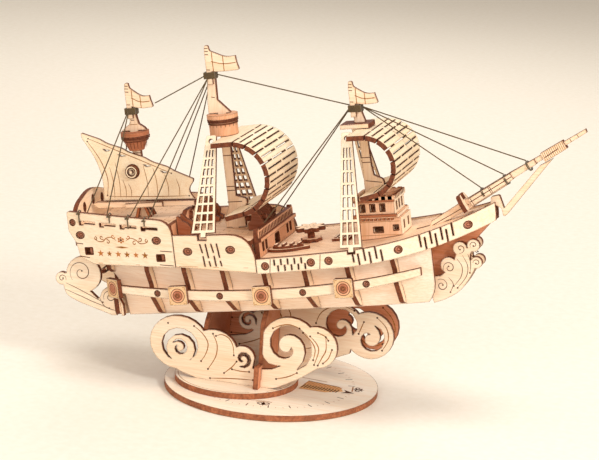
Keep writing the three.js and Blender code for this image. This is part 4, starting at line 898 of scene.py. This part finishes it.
def engrave_lateen():
    piece = Builder("lateen_engraving")
    for side in (-1, 1):
        y = -2.25 + side * (0.75 + LIFT)
        place = lambda a, b, y=y: ship(a, y, b)
        seams = ((-67.6, 103, 119), (-64.4, 103, 121), (-61.4, 103, 112), (-58.6, 103, 110),
                 (-49.6, 102.6, 118.6), (-44.6, 102.6, 117.4), (-38.8, 102.4, 113.6), (-33, 102.4, 111))
        for a, b0, b1 in seams:
            seam = smooth([(a, b0), (a + 0.3, (b0 + b1) / 2), (a - 0.8, b1)])
            piece.ribbon(seam, 0.34, place, BURN_LIGHT, taper=True)
        stroke(piece, [(-71.4, 104.6), (-70.2, 113), (-73, 123), (-78.6, 132.6)], place, 0.34)
        stroke(piece, [(-78, 134), (-64, 127.4), (-50, 120.8), (-36, 114)], place, 0.32)
        stroke(piece, [(-70, 104), (-56, 103.2), (-42, 102.6), (-28, 102.2)], place, 0.32)
        ringed(piece, -56.3, 116.1, 3.5, place, 0.5)
        if side < 0:
            hub = lambda a, b: ship(a, -2.25 - 0.75 - 2.23, b)
            ringed(piece, -56.3, 116.1, 3.1, hub, 0.4)
            ringed(piece, -56.3, 116.1, 2.1, hub, 0.4)
    piece.build()


# ---------- decks and houses

def plank_decks():
    piece = Builder("deck_planking")
    rows = 8
    for z, x0, x1 in ((POOP_DECK_Z, -80, -32), (QUARTER_DECK_Z, -28, 11.5)):
        place = lambda a, b, z=z: ship(a, b, z + LIFT)
        for k in range(-rows, rows + 1):
            half = k * 3.6
            stations = [x0 + 1.5 * i for i in range(int((x1 - x0) / 1.5) + 1)]
            reach = [x for x in stations if half_breadth(x) - 4 > abs(half)]
            if len(reach) > 2 and abs(half) > 1.6:
                piece.ribbon([(reach[0], half), (reach[-1], half)], 0.22, place, BURN_LIGHT)
                for x in range(int(reach[0]) + 5 + 4 * (k % 2), int(reach[-1]), 12):
                    piece.ribbon([(x, half), (x, half + 3.6 if k < rows else half)], 0.2, place, BURN_LIGHT)
    piece.build()
    waist = Builder("waist_planking")
    place = lambda a, b: ship(a, b, deck_top(a) + 0.05)
    for k in range(-8, 9):
        y = k * 3.6
        reach = [x for x in (15 + 2.5 * i for i in range(44)) if half_breadth(x) - 3.6 > abs(y) and x < 118]
        if abs(y) < 12:
            reach = [x for x in reach if x < 57.5 or x > 84]
        run = []
        for x in reach:
            if run and x - run[-1] > 3:
                if len(run) > 1:
                    waist.ribbon([(v, y) for v in run], 0.22, place, BURN_LIGHT)
                run = []
            run.append(x)
        if len(run) > 1:
            waist.ribbon([(v, y) for v in run], 0.22, place, BURN_LIGHT)
    waist.build()


def frame_window(piece, place, a0, a1, b0, b1, width=0.42):
    corners = box(a0, b0, a1, b1)
    for i in range(4):
        piece.ribbon([corners[i], corners[(i + 1) % 4]], width, place, BURN)


def dress_houses():
    piece = Builder("house_engraving")
    half = 9.6 + LIFT
    for side in (-1, 1):
        place = lambda a, b: ship(a, side * half, b)
        frame_window(piece, place, 66.8, 71.8, 80.2, 83.2)
        frame_window(piece, place, 76.8, 79.6, 81, 83.8)
        for x in (62.4, 67.4, 72.4):
            frame_window(piece, place, x - 1.35, x + 1.35, 90.6, 94.4)
            piece.ribbon([(x, 90.6), (x, 94.4)], 0.4, place, BURN)
        for z in (79, 85.6):
            piece.ribbon([(60, z), (80.4, z)], 0.2, place, BURN_LIGHT)
        piece.ribbon([(59, 96.2), (78, 96.2)], 0.34, place, BURN)
    for x, windows, low, top in ((81, (-4, 4), 81.2, 85), (78.4, (-5, 0, 5), 90.6, 94.4)):
        place = lambda a, b, x=x: ship(x + LIFT, a, b)
        for y in windows:
            frame_window(piece, place, y - 1, y + 1, low, top)
    piece.ribbon([(-9, 96.2), (9, 96.2)], 0.34, place, BURN)
    place = lambda a, b: ship(13.2 + PLY / 2 + LIFT, a, b)
    for y in (-23, -17.8, 17.8, 23):
        frame_window(piece, place, y - 1.5, y + 1.5, 77, 81.4, 0.4)
    for k in range(-8, 9):
        if abs(k) > 1:
            y = k * 3.4
            piece.ribbon([(y, 73.8), (y, 76.6)], 0.2, place, BURN_LIGHT)
    piece.build()


def belt_and_parapet():
    """Notched belt and stepped parapet of the forecastle, in darker stained plywood."""
    piece = Builder("forecastle_trim")
    for side in (-1, 1):
        for k in range(9):
            x = 59.4 + k * 2.1
            outline = box(x, 86.4, x + 1.3, 87.9)
            piece.prism(outline, across(side), 9.5, 10.5, STAIN, EDGE)
        for k in range(6):
            x = 59.2 + k * 3.3
            outline = box(x, 96.4, x + 2.1, 98.6)
            piece.prism(outline, across(side), 9.4, 10.4, STAIN, EDGE)
        rail = box(58.4, 95.4, 78.8, 96.4)
        piece.prism(rail, across(side), 9.5, 10.6, STAIN, EDGE)
    post = box(67.6, 96.4, 68.8, 101)
    piece.prism(post, lambda a, b, d: ship(a, -7 + d, b), -0.6, 0.6, FACE["side"], EDGE)
    belt = box(57.8, 88, 81.6, 89.4)
    for side in (-1, 1):
        piece.prism(belt, lambda a, b, d: ship(min(a, 79.4), side * d, b), 9.7, 10.9, STAIN, EDGE)
        ledge = box(side * 5, 82.3, side * 28.4, 83.6)
        piece.prism(ledge, lambda a, b, d: ship(d, a, b), 14.4, 15.6, STAIN, EDGE)
    for k in range(-3, 4):
        y = k * 2.7
        outline = box(y - 0.85, 96.4, y + 0.85, 98.6)
        piece.prism(outline, lambda a, b, d: ship(d, a, b), 78.2, 79.2, STAIN, EDGE)
    piece.build()


def deck_fittings():
    """Small plates on the decks: boat, guns, hatch, mast trestle and scrolled consoles."""
    piece = Builder("deck_fittings")
    boat = smooth([(14, -17), (19, -20.4), (27, -21), (33, -18.6), (36, -16.4), (32, -14), (24, -12.8),
                   (17, -14), (14, -17)], 4)[:-1]
    lift = lambda a, b, d: ship(a, b, deck_top(a) + d)
    piece.prism(boat, lift, 0.1, 1.5, FACE["deck"], EDGE)
    inner = [(25 + (a - 25) * 0.72, -17 + (b + 17) * 0.62) for a, b in boat]
    piece.prism(inner, lift, 1.5, 2.7, FACE["deck"], EDGE)
    for k in range(4):
        x = 18.4 + k * 4
        seat = box(x, -19.2, x + 1.5, -14.6)
        piece.prism(seat, lift, 2.7, 3.7, FACE["side_b"], EDGE)
    hatch = box(44, -5.6, 53, 5.6)
    piece.prism(hatch, lift, 0.1, 1.4, FACE["deck"], EDGE)
    for k in range(4):
        x = 45 + k * 2
        slat = box(x, -4.6, x + 1, 4.6)
        piece.prism(slat, lift, 1.4, 1.9, FACE["side_b"], EDGE)
    cheek = [(3.4, 84.6), (11.8, 84.6), (11.8, 88), (10.4, 91.4), (8, 94.4), (5.8, 93.4), (5.2, 90),
             (3.4, 88)]
    for gun_y in (-7.5, 7.5):
        for y in (gun_y - 1.9, gun_y + 1.9):
            piece.prism(cheek, lambda a, b, d: ship(a, y + d, b), -0.7, 0.7, DARK, EDGE)
        barrel = [ship(x, gun_y, z) for x, z in ((2, 90), (4, 90.2), (12, 90.8), (12.6, 90.8))]
        piece.tube(barrel, 1.35 * MM, EDGE, 12)
    for side in (-1, 1):
        scroll = [(-28.6, 84.6), (-20.4, 84.6), (-20, 86.6), (-22, 87.6), (-21.4, 90), (-23, 92.4),
                  (-25.4, 93.6), (-27.6, 96), (-28.6, 96)]
        for y in (16.6, 22.6):
            piece.prism(scroll, lambda a, b, d, y=y: ship(a, side * y + d, b), -0.8, 0.8, STAIN, EDGE)
        for z in (86.2, 89.6):
            reach = -22.4 - (z - 86.2) * 0.6
            step = box(-28.4, side * 17.4, reach, side * 21.8)
            piece.prism(step, lambda a, b, d, z=z: ship(a, b, z + d), -1.5, 1.5, STAIN, EDGE)
        for leg in ([(-50.6, 92.6), (-49, 92.6), (-51.6, 99), (-52.8, 99)],
                    [(-57.6, 92.6), (-56, 92.6), (-54, 99), (-55.4, 99)]):
            piece.prism(leg, lambda a, b, d: ship(a, side * 3.4 + d, b), -0.7, 0.7, STAIN, EDGE)
    piece.build()
    saddle = Builder("bowsprit_saddle")
    outline = [(-6.4, -3.4), (6.4, -3.4), (6.4, 1.2), (4.6, 4.8), (2.4, 5.4), (2.4, 2.2),
               (-2.4, 2.2), (-2.4, 5.4), (-4.6, 4.8), (-6.4, 1.2)]
    c, s = cos(SPRIT_SLOPE), sin(SPRIT_SLOPE)
    place = lambda a, b, d: ship(111.6 + d * c - (b + 1) * s, a, 89.6 + d * s + (b + 1) * c)
    saddle.prism(outline, place, -1.1, 1.1, FACE["cross"], EDGE)
    saddle.build()


# ---------- threads: windings, knots and ties

def knots():
    piece = Builder("thread_knots", "thread")

    def winding(x, z, half_x, y0, y1, turns, height):
        """Thread wound round a mast head between two heights."""
        path = []
        for i in range(turns * 12 + 1):
            t = 2 * pi * i / 12
            y = (y0 + y1) / 2 + (y1 - y0) / 2 * sin(t)
            path.append(ship(x + half_x * cos(t), y, z - height / 2 + height * i / (turns * 12)))
        piece.tube(path, 0.36 * MM, THREAD, 6)

    winding(-53.7, 146.4, 3.05, -3.75, 2.05, 5, 3)
    winding(-10.05, 161.5, 3.15, -3.75, 2.05, 5, 3)
    winding(61.9, 140.6, 3.4, -3.75, 2.05, 5, 3)
    for side in (-1, 1):
        for x, top, low in ((-78, 101.9, 96.8), (-61, 100.2, 96.2), (-51, 99, 93), (-42, 97.6, 94.2)):
            y = half_breadth(x)
            middle = (low + top) / 2
            route = [(0, 0.35, low), (0.1, 0.4, middle), (0, 0.35, top), (0, -1.2, top + 0.45),
                     (0, -2.8, top), (0, -2.85, middle), (0, -2.8, low), (0, -1.2, low - 0.1)]
            loop = [ship(x + dx, side * (y + dy), z) for dx, dy, z in route]
            piece.tube(loop, 0.34 * MM, THREAD, 6, closed=True)
            piece.tube([ship(x - 0.9, side * (y + 0.5), top - 1.1), ship(x, side * (y + 0.9), top - 0.8),
                        ship(x + 0.9, side * (y + 0.5), top - 1.2)], 0.5 * MM, THREAD, 6)
    for u, v in ((34, 2.1), (47, 1.9), (60, 1.9)):
        for shift in (-0.4, 0.2):
            loop = []
            for t in full_turn(12):
                reach = 2.6 if sin(t) > 0 else 2.4
                loop.append(sprit(u + shift, v - 2.1 + reach * sin(t), 3.2 * cos(t)))
            piece.tube(loop, 0.24 * MM, THREAD, 6, closed=True)
    piece.build(smooth=True)


def sprit(u, v, y=0.0):
    c, s = cos(SPRIT_SLOPE), sin(SPRIT_SLOPE)
    return ship(SPRIT_HEEL_X + u * c - v * s, y, SPRIT_HEEL_Z + u * s + v * c)


def engrave_sprit():
    piece = Builder("bowsprit_engraving")
    for side in (-1, 1):
        place = lambda a, b: sprit(a, b, side * (PLY / 2 + LIFT))
        cheek = lambda a, b: sprit(a, b, side * (2.8 + LIFT))
        wrap = lambda a, b: sprit(a, b, side * (1.9 + LIFT))
        piece.ribbon([(3, -0.4), (24.6, -0.8)], 0.35, place, BURN)
        piece.ribbon([(26.2, -0.2), (50.2, 0)], 0.4, cheek, BURN)
        for u in (27.2, 37.6, 38.4):
            piece.ribbon([(u, -2.1), (u, 1.4)], 0.32, cheek, BURN)
        for u in range(12):
            a = 68.6 + u
            piece.ribbon([(a, -2.3), (a + 0.5, 1.9)], 0.26, wrap, BURN_LIGHT)
        piece.ribbon([(69, -0.6), (77, -0.2)], 0.4, wrap, BURN)
        for a in (63, 84, 88):
            piece.ribbon([(a, -0.8), (a, 0.9)], 0.3, place, BURN)
    piece.build()


def surface_finder(node, side):
    """Outermost surface of a hull node, met by a line square to the ship's middle plane."""
    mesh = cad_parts[node].data
    tree = BVHTree.FromPolygons([v.co for v in mesh.vertices], [p.vertices for p in mesh.polygons])

    def place(x, z, lift=0.04):
        start = ship(x, side * 60, z)
        hit = tree.ray_cast(start, Vector((0, -side, 0)))[0]
        return (hit or ship(x, side * 28, z)) + Vector((0, side * lift * MM, 0))
    return place


def engrave_peep_holes():
    piece = Builder("skin_engraving")
    for side, name in ((-1, "hull_skin_starboard"), (1, "hull_skin_port")):
        place = surface_finder(name, side)
        # dark disc in cut-edge brown stands for the hole: its burnt wall, plus painted shade inside it
        dot(piece, -68.4, 71.8, 1.3, place, EDGE)
        ringed(piece, -68.4, 71.8, 1.4, lambda a, b: place(a, b, 0.07), 0.4)
    piece.build()


def engrave_capstan():
    """Spokes on the capstan's head."""
    piece = Builder("capstan_engraving", "plywood", "capstan_body")
    place = lambda a, b: ship(CAPSTAN_X + a, b, deck_top(CAPSTAN_X) + CAPSTAN_HEAD)
    for k in range(8):
        turn = radians(45 * k + 22.5)
        c, s = cos(turn), sin(turn)
        piece.ribbon([(1.6 * c, 1.6 * s), (3.2 * c, 3.2 * s)], 0.3, place, BURN)
    piece.build()


def nest_staves():
    """Staves and hoops of the two fighting tops."""
    piece = Builder("nest_staves")
    for x, y, z, rim, drum, depth in ((-53.7, 0, 131.6, 7.2, 6.0, 5.2), (-6.8, 0, 137.6, 7.7, 7.1, 6.0)):
        for k in range(20):
            t = 2 * pi * (k + 0.5) / 20
            c, s = cos(t), sin(t)
            r0, r1 = drum - 0.7, drum + 0.12
            w = 0.12
            low, high = z - depth + 1.2, z - 0.6
            points = [ship(x + r * c - e * s, y + r * s + e * c, h)
                      for r, e, h in ((r0, w, low), (r0, -w, low), (r1, -w, high), (r1, w, high))]
            piece.add(points, [(0, 1, 2, 3)], BURN)
        for height, r in ((z - 0.2, drum + 0.1), (z + 0.9, rim - 0.3), (z + 1.7, rim - 0.2)):
            hoop = [ship(x + r * cos(t), y + r * sin(t), height) for t in full_turn(28)]
            piece.tube(hoop, 0.36 * MM, EDGE, 6, closed=True)
    piece.build()


def make_details():
    engrave_waves()
    engrave_base()
    engrave_panels()
    port_plugs()
    engrave_wale()
    rosette_hubs()
    engrave_hull_waves()
    engrave_masts()
    engrave_flags()
    engrave_lateen()
    plank_decks()
    dress_houses()
    belt_and_parapet()
    deck_fittings()
    knots()
    engrave_sprit()
    engrave_capstan()
    engrave_peep_holes()
    nest_staves()


make_details()


# ---------- camera, light and floor

VIEW_AZIMUTH = radians(15.7)
VIEW_HEIGHT = radians(14.3)
VIEW_ROLL = radians(-3.4)
VIEW_DISTANCE = 1.2
VIEW_TARGET = Vector((9.3, 2.6, 82.5)) * MM
LENS = 145.1                  # mm on a 36 mm sensor
FLOOR_HALF = 3.0              # metres
FLOOR_DROP = 0.0004           # floor this far under the base, so that the two don't flicker


def make_camera():
    right = Vector((cos(VIEW_AZIMUTH), sin(VIEW_AZIMUTH), 0))
    level = cos(VIEW_HEIGHT)
    back = Vector((sin(VIEW_AZIMUTH) * level, -cos(VIEW_AZIMUTH) * level, sin(VIEW_HEIGHT)))
    up = back.cross(right)
    c, s = cos(VIEW_ROLL), sin(VIEW_ROLL)
    right, up = right * c - up * s, right * s + up * c
    data = bpy.data.cameras.new("camera")
    data.lens = LENS
    data.sensor_width = 36
    data.clip_start = 0.01
    camera = bpy.data.objects.new("camera", data)
    turn = Matrix((right, up, back)).transposed().to_4x4()
    camera.matrix_world = Matrix.Translation(VIEW_TARGET + back * VIEW_DISTANCE) @ turn
    bpy.context.collection.objects.link(camera)
    bpy.context.scene.camera = camera


def area_light(name, location, target, size, power, colour):
    data = bpy.data.lights.new(name, "AREA")
    data.shape = "DISK"
    data.size = size
    data.energy = power
    data.color = colour
    light = bpy.data.objects.new(name, data)
    light.location = location
    direction = Vector(target) - Vector(location)
    light.rotation_euler = direction.to_track_quat("-Z", "Y").to_euler()
    bpy.context.collection.objects.link(light)


def make_stage():
    mesh = bpy.data.meshes.new("floor")
    corners = [(a, b, -FLOOR_DROP) for a, b in rectangle(0, 0, FLOOR_HALF, FLOOR_HALF)]
    mesh.from_pydata(corners, [], [(0, 1, 2, 3)])
    material, tree, shader = new_material("floor_paper")
    fibre = noise(tree, stretched(tree, (40, 40, 40)), 6.0, 4.0)
    colour = ramp(tree, fibre, [(0.3, srgb(247, 240, 226)), (0.7, srgb(252, 246, 234))])
    tree.links.new(colour, shader.inputs["Base Color"])
    set_inputs(shader, Roughness=0.9)
    mesh.materials.append(material)
    floor = bpy.data.objects.new("floor", mesh)
    bpy.context.collection.objects.link(floor)
    world = bpy.data.worlds.new("studio")
    world.use_nodes = True
    background = world.node_tree.nodes["Background"]
    background.inputs[0].default_value = srgb(255, 242, 228)
    background.inputs[1].default_value = 0.42
    bpy.context.scene.world = world
    area_light("key", (0.95, -0.62, 0.74), (0.0, 0.0, 0.07), 0.35, 8.2, (1.0, 0.95, 0.89))
    area_light("front", (0.0, -1.3, 0.6), (0.0, 0.0, 0.08), 0.9, 5.2, (1.0, 0.95, 0.91))
    area_light("above", (0.1, -0.25, 1.5), (0.0, 0.0, 0.05), 0.7, 9, (1.0, 0.95, 0.9))
    area_light("back", (-0.2, 0.9, 0.7), (0.0, 0.0, 0.1), 0.6, 3, (1.0, 0.97, 0.93))
    bpy.context.scene.view_settings.view_transform = "Standard"


make_camera()
make_stage()
